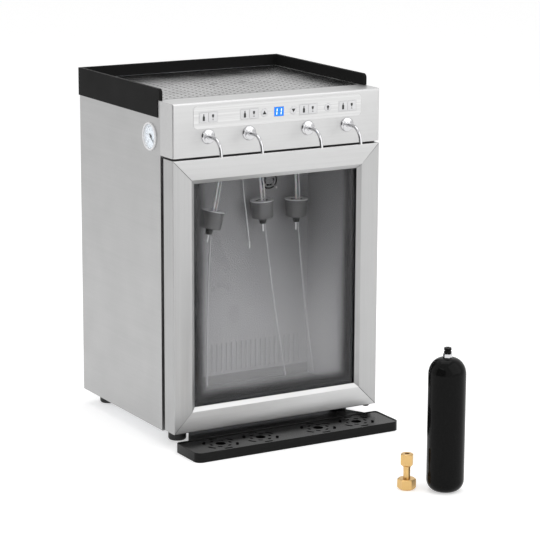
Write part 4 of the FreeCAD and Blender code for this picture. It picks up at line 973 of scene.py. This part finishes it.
round_part = [(2.7 * math.cos(a), 1.2 + 2.7 * math.sin(a))
              for a in [math.radians(d) for d in range(-55, 91, 15)]]
BULB_SIGN = [(0, -4.6), (0.9, -4.6), (1.2, -4.2), (1.2, -2.2)] + round_part
signs = {"key_up_cap": sign("up_sign", ARROW_SIGN, -ARROW_X),
         "key_down_cap": sign("down_sign", ARROW_SIGN, ARROW_X, -1),
         "key_light_cap": sign("light_sign", BULB_SIGN, LIGHT_X)}
for label, half, side in (("bottle", BOTTLE_SIGN, -1), ("glass", GLASS_SIGN, 1)):
    first = sign(label + "_sign_1", half, TAP_X[0] + side * KEY_PITCH / 2)
    for i, thing in enumerate(one_per_tap(first, label + "_sign"), 1):
        signs["key_%s_%d_cap" % (label, i)] = thing
for body, thing in signs.items():
    place_in_model(thing, ink, "key_plastic", body)

# %% [markdown]
# The display is a lit blue panel with two white figures. A figure one of such a
# display is two slanted bars, so one bar is drawn and copied three times.

# %% The display
DISPLAY_HALF_WIDTH = 10.0
DISPLAY_HALF_HEIGHT = 8.5
BAR_HALF = 2.9
BAR_WIDTH = 0.85
BAR_SLANT = 0.10


def lit(name, colour, strength):
    material, tree, shader = new_material(name, 0.15, 0.25)
    shader.inputs["Base Color"].default_value = (*[c * 0.4 for c in colour], 1)
    shader.inputs["Emission Color"].default_value = (*colour, 1)
    shader.inputs["Emission Strength"].default_value = strength
    return material


display_blue = lit("display_blue", (0.0, 0.20, 1.0), 0.95)
display_white = lit("display_white", (0.9, 0.97, 1.0), 1.2)
panel = slab("display_panel", (-DISPLAY_HALF_WIDTH, FILM_FRONT - 0.15, KEY_Z - DISPLAY_HALF_HEIGHT),
             (DISPLAY_HALF_WIDTH, FILM_FRONT, KEY_Z + DISPLAY_HALF_HEIGHT))
round_edges(panel, 0.06, 1)
place_in_model(panel, display_blue, "display_glass", "cabinet")
bar_outline = [(-BAR_WIDTH, -BAR_HALF + 0.8), (0, -BAR_HALF), (BAR_WIDTH, -BAR_HALF + 0.8),
               (BAR_WIDTH, BAR_HALF - 0.8), (0, BAR_HALF), (-BAR_WIDTH, BAR_HALF - 0.8)]
for number, (x, z) in enumerate([(-4.4, -3.1), (-4.4, 3.1), (4.9, -3.1), (4.9, 3.1)], 1):
    points = [Vector((x + a + (z + b) * BAR_SLANT, FILM_FRONT - 0.14, KEY_Z + z + b))
              for a, b in bar_outline]
    bar = filled("figure_bar_%d" % number, points, 0, -0.08, 0)
    place_in_model(bar, display_white, "display_glass", "cabinet")

# %% [markdown]
# The pressure gauge sits in the left side. Its bright ring is turned, with a
# step down to the glass. The ticks are one small bar, copied round the dial, and
# the numbers are text that is made a mesh before it is set in its place.

# %% The gauge
GAUGE_Y = 92.0
GAUGE_Z = 590.0
DIAL_X = -222.0
GAUGE_FRONT = -228.5
bezel = lathe("gauge_bezel", [(26.5, 3.5), (26.5, 1.4), (26.2, 0.6), (25.5, 0.1), (24.8, 0.0),
                              (24.0, 0.25), (23.4, 0.9), (23.1, 2.0), (22.9, 6.4), (23.0, 34.0),
                              (24.5, 34.0), (24.5, 3.6), (26.5, 3.5)],
              Vector((GAUGE_FRONT, GAUGE_Y, GAUGE_Z)), "X", 72)
gauge_white = moulded("gauge_white", (0.80, 0.80, 0.81), (0.86, 0.86, 0.87), 0.12, 0.2, 900.0, 0.02)
place_in_model(bezel, gauge_white, "chrome", "cabinet", "gauge_case")


def on_dial(radius, angle, out):
    # Angles run clockwise from the top, as the reader of the gauge sees it.
    return Vector((DIAL_X - out, GAUGE_Y - radius * math.sin(angle),
                   GAUGE_Z + radius * math.cos(angle)))


def dial_shape(name, outline, out, depth, material, slot, body, *replaced):
    points = [on_dial(radius, angle, out) for radius, angle in outline]
    return place_in_model(filled(name, points, -depth, 0, 0), material, slot, body, *replaced)


SCALE_START = math.radians(-135)
SCALE_TURN = math.radians(270)
TICKS = 26
for k in range(TICKS + 1):
    angle = SCALE_START + SCALE_TURN * k / TICKS
    inner = 16.2 if k % 5 == 0 else 18.0
    wide = 0.030 if k % 5 == 0 else 0.016
    dial_shape("dial_tick_%d" % (k + 1),
               [(inner, angle - wide), (20.0, angle - wide), (20.0, angle + wide),
                (inner, angle + wide)], 0.02, 0.05, ink, "gauge_face", "cabinet")
red_zone = [(20.6, SCALE_START + SCALE_TURN * (0.80 + 0.02 * k)) for k in range(9)]
red_zone += [(18.4, a) for r, a in reversed(red_zone)]
dial_shape("dial_red_zone", red_zone, 0.01, 0.04, ink_red, "gauge_face", "cabinet")
for k in range(6):
    clear()
    bpy.ops.object.text_add()
    words = bpy.context.object
    words.name = "dial_number_%d" % k
    words.data.body = str(2 * k)
    words.data.size = 4.2 * MM
    words.data.align_x = "CENTER"
    words.data.align_y = "CENTER"
    words.data.extrude = 0.03 * MM
    bpy.ops.object.convert(target="MESH")
    words = bpy.context.object
    spot = on_dial(13.2, SCALE_START + SCALE_TURN * k * 5 / TICKS, 0.05) * MM
    words.matrix_world = Matrix(((0, 0, -1, spot.x), (-1, 0, 0, spot.y), (0, 1, 0, spot.z),
                                 (0, 0, 0, 1)))
    apply_place(words)
    place_in_model(words, ink, "gauge_face", "cabinet")

# %% The gauge's hand and its glass
HAND = math.radians(135)
HUB_X = -224.5
dial_shape("gauge_hand", [(6.0, HAND + math.pi + 0.22), (1.0, HAND - math.pi / 2),
                          (17.0, HAND - 0.012), (17.0, HAND + 0.012), (1.0, HAND + math.pi / 2),
                          (6.0, HAND + math.pi - 0.22)],
           1.2, 0.6, ink, "needle_black", "needle", "gauge_needle")
hub = lathe("gauge_hand_hub", [(0.85, 1.7), (2.8, 1.7), (2.8, 0.7), (2.4, 0.3), (0.85, 0.3),
                               (0.85, 1.7)], Vector((HUB_X, GAUGE_Y, GAUGE_Z)), "X", 32)
place_in_model(hub, black_plastic, "needle_black", "needle", "gauge_needle")
lens = lathe("gauge_glass", [(0, 0), (12.0, 0.15), (22.9, 0.6), (22.9, 2.0), (12.0, 1.55),
                             (0, 1.4)], Vector((GAUGE_FRONT + 1.0, GAUGE_Y, GAUGE_Z)), "X", 48)
place_in_model(lens, gauge_pane, "gauge_lens", "cabinet", "gauge_lens")
lens.visible_shadow = False

# %% [markdown]
# A stopper closes each bottle. Its rubber body is wider at the top, a polished
# washer lies on it, and a ribbed plug below goes into the bottle's neck. The
# washer, its seat and the plug's tip are painted pale, a painted highlight for
# the glint of their polished steel. Each part is turned upright at the origin,
# then tilted and hung where its hose holds it.

# %% Stoppers
STOPPER_BODY = [(0, -34), (20.0, -34), (20.8, -33.4), (21.1, -32.6), (22.4, -1.2), (22.1, -0.3),
                (21.4, 0), (13.4, 0), (13.0, -0.4), (13.0, -6), (0, -6)]
WASHER = [(13.0, 0), (23.2, 0), (23.5, 0.35), (23.5, 1.05), (23.1, 1.4), (13.4, 1.4), (13.0, 1.1),
          (13.0, 0)]
SEAT = [(6.2, -5.9), (9.6, -5.9), (9.6, -1.4), (9.2, -0.9), (6.6, -0.9), (6.2, -1.4), (6.2, -5.9)]
PLUG = [(0, -46), (5.6, -46), (6.3, -45.4), (6.7, -43.4), (6.2, -43.0), (6.4, -42.2), (7.3, -41.6),
        (7.3, -40.6), (6.8, -40.1), (7.0, -39.2), (7.9, -38.6), (7.9, -37.4), (7.4, -36.9),
        (7.6, -36.1), (8.5, -35.4), (8.5, -34), (0, -34)]
TIP = [(0, -62), (0.9, -62), (1.4, -61.4), (1.5, -60.6), (1.5, -46), (0, -46)]


origin = Vector((0, 0, 0))
stopper_parts = [
    ("stopper_body", STOPPER_BODY, stopper_rubber, "stopper_rubber", "stoppers"),
    ("stopper_washer", WASHER, washer_painted_glint, "chrome", "stopper_fittings"),
    ("stopper_seat", SEAT, washer_painted_glint, "chrome", "stopper_fittings"),
    ("stopper_plug", PLUG, plug_rubber, "stopper_rubber", "stoppers"),
    ("stopper_tip", TIP, washer_painted_glint, "chrome", "stopper_fittings")]
for label, outline, material, slot, node in stopper_parts:
    model = lathe(label, outline, origin, "Z")
    for i in range(4):
        piece = copied(model, "%s_%d" % (label, i + 1), origin)
        piece.matrix_world = (Matrix.Translation(stopper_point(i, 0, 0) * MM)
                              @ Matrix.Rotation(math.radians(STOPPER_TILT[i]), 4, "Y"))
        apply_place(piece)
        place_in_model(piece, material, slot, "cabinet", node)
    bpy.data.objects.remove(model)
softened("dip_tubes", tube_smoke, "hose_clear", "cabinet", 0.2)

# %% The temperature probe
probe = lathe("probe_sleeve", [(0, -14), (1.4, -14), (2.0, -13.5), (2.25, -12.6), (2.25, -2.8),
                               (1.9, -2.5), (1.9, -1.9), (2.25, -1.6), (2.1, -0.5), (1.6, 0),
                               (0, 0)], probe_route()[-1], "Z", 32)
place_in_model(probe, screw_steel, "chrome", "cabinet", "temperature_probe")

# %% [markdown]
# The back wall of the compartment is a painted sheet with pressed louvres and
# two small fan guards. Behind the slots lies a plate, as the hoods of pressed
# louvres would; its paint is darker than the wall's, painted shade in the slots.
# A dark strip along the corner of the wall and the floor is painted shade, and a
# mat lies on the floor.

# %% The compartment
DUCT_FACE = 188.0
CAVITY_X = 177.6
CAVITY_FLOOR = 60.0
LINER_FRONT = 50.4
louvre_shade_paint = moulded("louvre_shade_paint", (0.22, 0.22, 0.225), (0.28, 0.28, 0.285), 0.3, 0.4, 420.0,
                       0.5)
mat_and_corner_shade_grey = moulded("mat_and_corner_shade_grey", (0.030, 0.030, 0.031), (0.045, 0.045, 0.046), 0.35, 0.5, 380.0, 0.4)
softened("duct_plate", duct_paint, "duct_grey", "cabinet", 0.5)
softened("liner", liner_plastic, "liner_plastic", "cabinet", 0.6)
# The louvre plate's darker paint and the dark corner strip are painted shade; the mat is the
# floor's own.
for name, low, high, width, segments, material in (
        ("louvre_back", (-163, DUCT_FACE + 2.2, 82), (163, DUCT_FACE + 3.4, 147), 0.4, 2,
         louvre_shade_paint),
        ("corner_shade_strip", (-CAVITY_X, DUCT_FACE - 1.6, CAVITY_FLOOR + 1.2),
         (CAVITY_X, DUCT_FACE - 0.1, CAVITY_FLOOR + 20), 0.7, 3, mat_and_corner_shade_grey),
        ("floor_mat", (-CAVITY_X, LINER_FRONT, CAVITY_FLOOR + 0.1),
         (CAVITY_X, DUCT_FACE - 0.4, CAVITY_FLOOR + 1.1), 0.4, 2, mat_and_corner_shade_grey)):
    piece = slab(name, low, high)
    round_edges(piece, width, segments)
    place_in_model(piece, material, "duct_grey", "cabinet")

# %% [markdown]
# Every screw has a domed head with a cross cut into it. The head is turned, and
# two crossed bars are taken away from it with a Boolean. One screw of each size
# is made and the rest are copies.

# %% Screws
def cross_screw(name, centre, way, radius, height):
    outline = [(0, 0), (radius, 0), (radius, height * 0.35), (radius * 0.85, height * 0.78),
               (radius * 0.5, height * 0.97), (0, height)]
    head = lathe(name, [(r, way * along) for r, along in outline], centre, "Y", 24)
    long_side = radius * 0.62
    short_side = radius * 0.15
    near, far = sorted((centre.y + way * height * 0.35, centre.y + way * height * 1.5))
    for wide, high in ((long_side, short_side), (short_side, long_side)):
        cutter = slab("cutter", (centre.x - wide, near, centre.z - high),
                      (centre.x + wide, far, centre.z + high))
        cut = head.modifiers.new("cross", "BOOLEAN")
        cut.operation = "DIFFERENCE"
        cut.object = cutter
        apply_modifiers(head)
        bpy.data.objects.remove(cutter)
    smooth(head)
    return head


FAN_X = 88.0
FAN_Z = 464.0
FAN_HOLE = 16.0
small_places = [Vector((side * FAN_X + dx, DUCT_FACE, FAN_Z + dz)) for side in (-1, 1)
                for dx in (-FAN_HOLE, FAN_HOLE) for dz in (-FAN_HOLE, FAN_HOLE)]
small_places += [Vector((side * 168, DUCT_FACE, z)) for side in (-1, 1) for z in (72, 516)]
rear_places = [Vector((side * 217, 397, z)) for side in (-1, 1) for z in (60, 240, 420, 600)]
for label, places, way, radius, height in (("duct_screw", small_places, -1, 2.4, 1.4),
                                           ("rear_screw", rear_places, 1, 3.0, 1.6)):
    first = cross_screw(label + "_1", places[0], way, radius, height)
    heads = [first] + [copied(first, "%s_%d" % (label, i + 1), place - places[0])
                       for i, place in enumerate(places) if i]
    for head in heads:
        place_in_model(head, screw_steel, "screw_steel", "cabinet", "screws")

# %% [markdown]
# The drip tray is one moulding: a basin in front and a tongue that slides under
# the cabinet. It starts as a slab whose upright edges are rounded. Two cuts mark
# the tongue's width, the face between them is drawn back and narrowed, and the
# top is inset and sunk twice, first as a seat for the grid and then as the well.

# %% The drip tray
TRAY_HALF = 224.0
TRAY_FRONT = -90.0
TRAY_BACK = -4.0
TRAY_HEIGHT = 18.7
TRAY_WALL = 3.0
SEAT_DROP = 3.4
TONGUE_ROOT = 197.0
TONGUE_END = 163.0
TONGUE_BACK = 60.0
FRONT_CORNER = 14.0
REAR_CORNER = 7.0


def pick_edges(thing, test):
    # Selects the edges whose middle and direction pass the test.
    mesh = bmesh.from_edit_mesh(thing.data)
    bpy.ops.mesh.select_all(action="DESELECT")
    bpy.context.tool_settings.mesh_select_mode = (False, True, False)
    for edge in mesh.edges:
        a, b = edge.verts
        edge.select = test((a.co + b.co) / 2 / MM, (b.co - a.co).normalized())
    mesh.select_flush_mode()
    bmesh.update_edit_mesh(thing.data)


tray = slab("drip_tray_moulding", (-TRAY_HALF, TRAY_FRONT, 0), (TRAY_HALF, TRAY_BACK, TRAY_HEIGHT))
into_edit(tray)
pick_edges(tray, lambda middle, way: abs(way.z) > 0.9 and middle.y < -80)
bpy.ops.mesh.bevel(offset=FRONT_CORNER * MM, segments=9, affect="EDGES")
pick_edges(tray, lambda middle, way: abs(way.z) > 0.9 and middle.y > -5 and abs(middle.x) > 220)
bpy.ops.mesh.bevel(offset=REAR_CORNER * MM, segments=6, affect="EDGES")
for side in (-1, 1):
    bpy.ops.mesh.select_all(action="SELECT")
    bpy.ops.mesh.bisect(plane_co=(side * TONGUE_ROOT * MM, 0, 0), plane_no=(1, 0, 0))
pick(tray, lambda middle, normal: normal.y > 0.99 and abs(middle.x) < 0.19)
extrude(0, TONGUE_BACK - TRAY_BACK, 0)
bpy.ops.transform.resize(value=(TONGUE_END / TONGUE_ROOT, 1, 1))
pick(tray, lambda middle, normal: normal.z > 0.99 and middle.y < TRAY_BACK * MM)
for drop in (SEAT_DROP, TRAY_HEIGHT - SEAT_DROP - TRAY_WALL):
    bpy.ops.mesh.inset(thickness=TRAY_WALL * MM, depth=0)
    extrude(0, 0, -drop)
pick(tray, lambda middle, normal: normal.z < -0.99 and middle.y > TRAY_BACK * MM)
bpy.ops.mesh.inset(thickness=TRAY_WALL * MM, depth=0)
extrude(0, 0, TRAY_HEIGHT - TRAY_WALL)
clean_shell()
smooth(tray)
round_edges(tray, 0.7, 3)
place_in_model(tray, tray_black, "tray_black", "tray", "drip_tray")
softened("drip_grid", tray_black, "tray_black", "tray_grid", 0.35)

# %% [markdown]
# The gas cylinder is a deep-drawn bottle: one outline from its flat foot over a
# round shoulder to the neck. A nickel collar with six flats carries the black
# cap, whose waist is grooved.

# %% The gas cylinder
CYLINDER = Vector((90.5, -443.4, 0))
CYLINDER_RADIUS = 34.0
FOOT_RADIUS = 15.0
NECK_RADIUS = 8.0
SHOULDER = 245.8
LOW_ROUND = 22.0
HIGH_ROUND = 30.0
NUT_HEIGHT = 7.2
quarter = [math.radians(7.5 * k) for k in range(13)]
bottle_outline = [(0, 0)]
bottle_outline += [(FOOT_RADIUS + (CYLINDER_RADIUS - FOOT_RADIUS) * math.sin(a),
                    LOW_ROUND * (1 - math.cos(a))) for a in quarter]
bottle_outline += [(NECK_RADIUS + (CYLINDER_RADIUS - NECK_RADIUS) * math.cos(a),
                    SHOULDER - HIGH_ROUND * (1 - math.sin(a))) for a in quarter]
bottle_outline += [(0, SHOULDER)]
bottle = lathe("cylinder_shell", bottle_outline, CYLINDER, "Z", 96)
place_in_model(bottle, enamel_black, "cylinder_black", "cylinder", "gas_cylinder")
softened("cylinder_valve", chrome, "chrome", "cylinder", 0.5, 3)
cap_place = CYLINDER + Vector((0, 0, SHOULDER + NUT_HEIGHT))
cap = lathe("cylinder_cap", [(0, 0), (5.6, 0), (6.8, 1.2), (7.0, 1.8), (7.0, 3.6), (6.4, 4.4),
                             (5.9, 5.0), (5.9, 5.8), (6.5, 6.6), (6.9, 7.3), (6.9, 8.6),
                             (6.4, 9.2), (6.4, 9.9), (6.7, 10.4), (6.3, 11.0), (3.0, 11.0),
                             (2.6, 10.4), (0, 10.4)], cap_place, "Z", 48)
place_in_model(cap, enamel_black, "cylinder_black", "cylinder", "gas_cylinder")
softened("brass_adaptor", brass, "brass", "adaptor", 0.45, 3)

# %% [markdown]
# Four rubber feet, a mains socket and the gas union finish the cabinet. A foot
# is turned with a rolled lower edge, and the others are copies.

# %% Feet and rear fittings
FOOT_PLACES = [Vector((x, y, 0)) for x in (-181.0, 181.0) for y in (72.0, 372.0)]
foot = lathe("foot_1", [(0, 0.3), (11.0, 0.3), (11.4, 0), (13.6, 0), (15.5, 0.5), (16.9, 1.9),
                        (17.5, 4.0), (17.5, 20.0), (16.7, 21.0), (16.7, 23.0), (17.5, 24.0),
                        (17.5, 28.0), (0, 28.0)], FOOT_PLACES[0], "Z", 48)
for i, place in enumerate(FOOT_PLACES):
    piece = copied(foot, "foot_%d" % (i + 1), place - FOOT_PLACES[0]) if i else foot
    place_in_model(piece, foot_rubber, "foot_rubber", "cabinet", "feet")
softened("mains_inlet", black_plastic, "black_steel", "cabinet", 0.4)
softened("gas_manifold", aluminium, "aluminium", "cabinet", 0.4)

# %% [markdown]
# The mitres of the door are filled with a dark sealant that shows as a thin
# line. Each line is drawn from the outer corner over the flat face and down the
# bevel, widened, and copied by mirroring its points for the other corners.

# %% Sealant in the mitres
DOOR_LOW = 32.0
DOOR_HIGH = 556.0
HALF_WIDTH = 225.0
FLAT_FACE = 39.0
BEVEL = 8.0
BEVEL_DEPTH = 6.0
SEAM = 0.42
SEALANT_DEPTH = 0.25
sealant = moulded("sealant", 0.10, 0.14, 0.5, 0.6)
stops = [(1.3, -0.03), (FLAT_FACE, -0.03), (FLAT_FACE + BEVEL - 0.3, BEVEL_DEPTH - 0.2)]
mitres = [(side, corner, up) for corner, up in ((DOOR_LOW, 1), (DOOR_HIGH, -1)) for side in (-1, 1)]
for k, (side, corner, up) in enumerate(mitres, 1):
    # The points run in along one edge of the line and back along the other.
    points = [Vector((side * (HALF_WIDTH - s + half), y, corner + up * (s + half)))
              for half, way in ((-SEAM, 1), (SEAM, -1)) for s, y in stops[::way]]
    line = filled("mitre_sealant_%d" % k, points, 0, SEALANT_DEPTH, 0)
    place_in_model(line, sealant, "seal_black", "door")

# %% [markdown]
# A pale sheet on the inner pane is a painted reflection of the white floor,
# stronger towards the bottom. It is a thin sheet whose alpha follows the height.

# %% A painted floor reflection on the inner pane
REFLECTION_FADE_TOP = 420.0
REFLECTION_FADE_BOTTOM = 130.0
REFLECTION_ALPHA = 0.13
# The pale colour and its alpha are a painted reflection of the white floor.
reflection_material, reflection_tree, reflection_shader = new_material("glass_painted_reflection", 0.5, 0.6)
reflection_shader.inputs["Base Color"].default_value = (0.80, 0.80, 0.81, 1)
fade_alpha(reflection_tree, reflection_shader, object_axes(reflection_tree)["Z"], REFLECTION_FADE_TOP, REFLECTION_FADE_BOTTOM, 0.0,
           REFLECTION_ALPHA)
reflection_sheet = slab("door_glass_painted_reflection",
            (-GLASS_X + SPACER_WIDTH, INNER_FRONT - 0.2, GLASS_LOW + SPACER_WIDTH),
            (GLASS_X - SPACER_WIDTH, INNER_FRONT - 0.1, GLASS_HIGH - SPACER_WIDTH))
place_in_model(reflection_sheet, reflection_material, "door_glass", "door")
reflection_sheet.visible_shadow = False

# %% [markdown]
# The top grid is punched from thin sheet. Its faces stay brushed steel, and the
# walls of the holes are dark, because little light gets in at this low angle.
# The walls are the faces that point sideways, away from the sheet's own edge.

# %% The top grid
EDGE_MARGIN = 2.0
hole_dark = moulded("hole_dark", 0.010, 0.016, 0.5, 0.6)
grid = copy_of_node("top_grid_plate", "top_grid_sheet")
clear()
place_in_model(grid, plate_steel, "cabinet_steel", "top_grid", "top_grid_plate")
grid.data.materials.append(hole_dark)
xs = [corner[0] for corner in grid.bound_box]
ys = [corner[1] for corner in grid.bound_box]
margin = EDGE_MARGIN * MM
into_edit(grid)
walls = pick(grid, lambda middle, normal: abs(normal.z) < 0.5
             and min(xs) + margin < middle.x < max(xs) - margin
             and min(ys) + margin < middle.y < max(ys) - margin)
grid.active_material_index = 1
bpy.ops.object.material_slot_assign()
clear()
print("faces in the holes", walls)
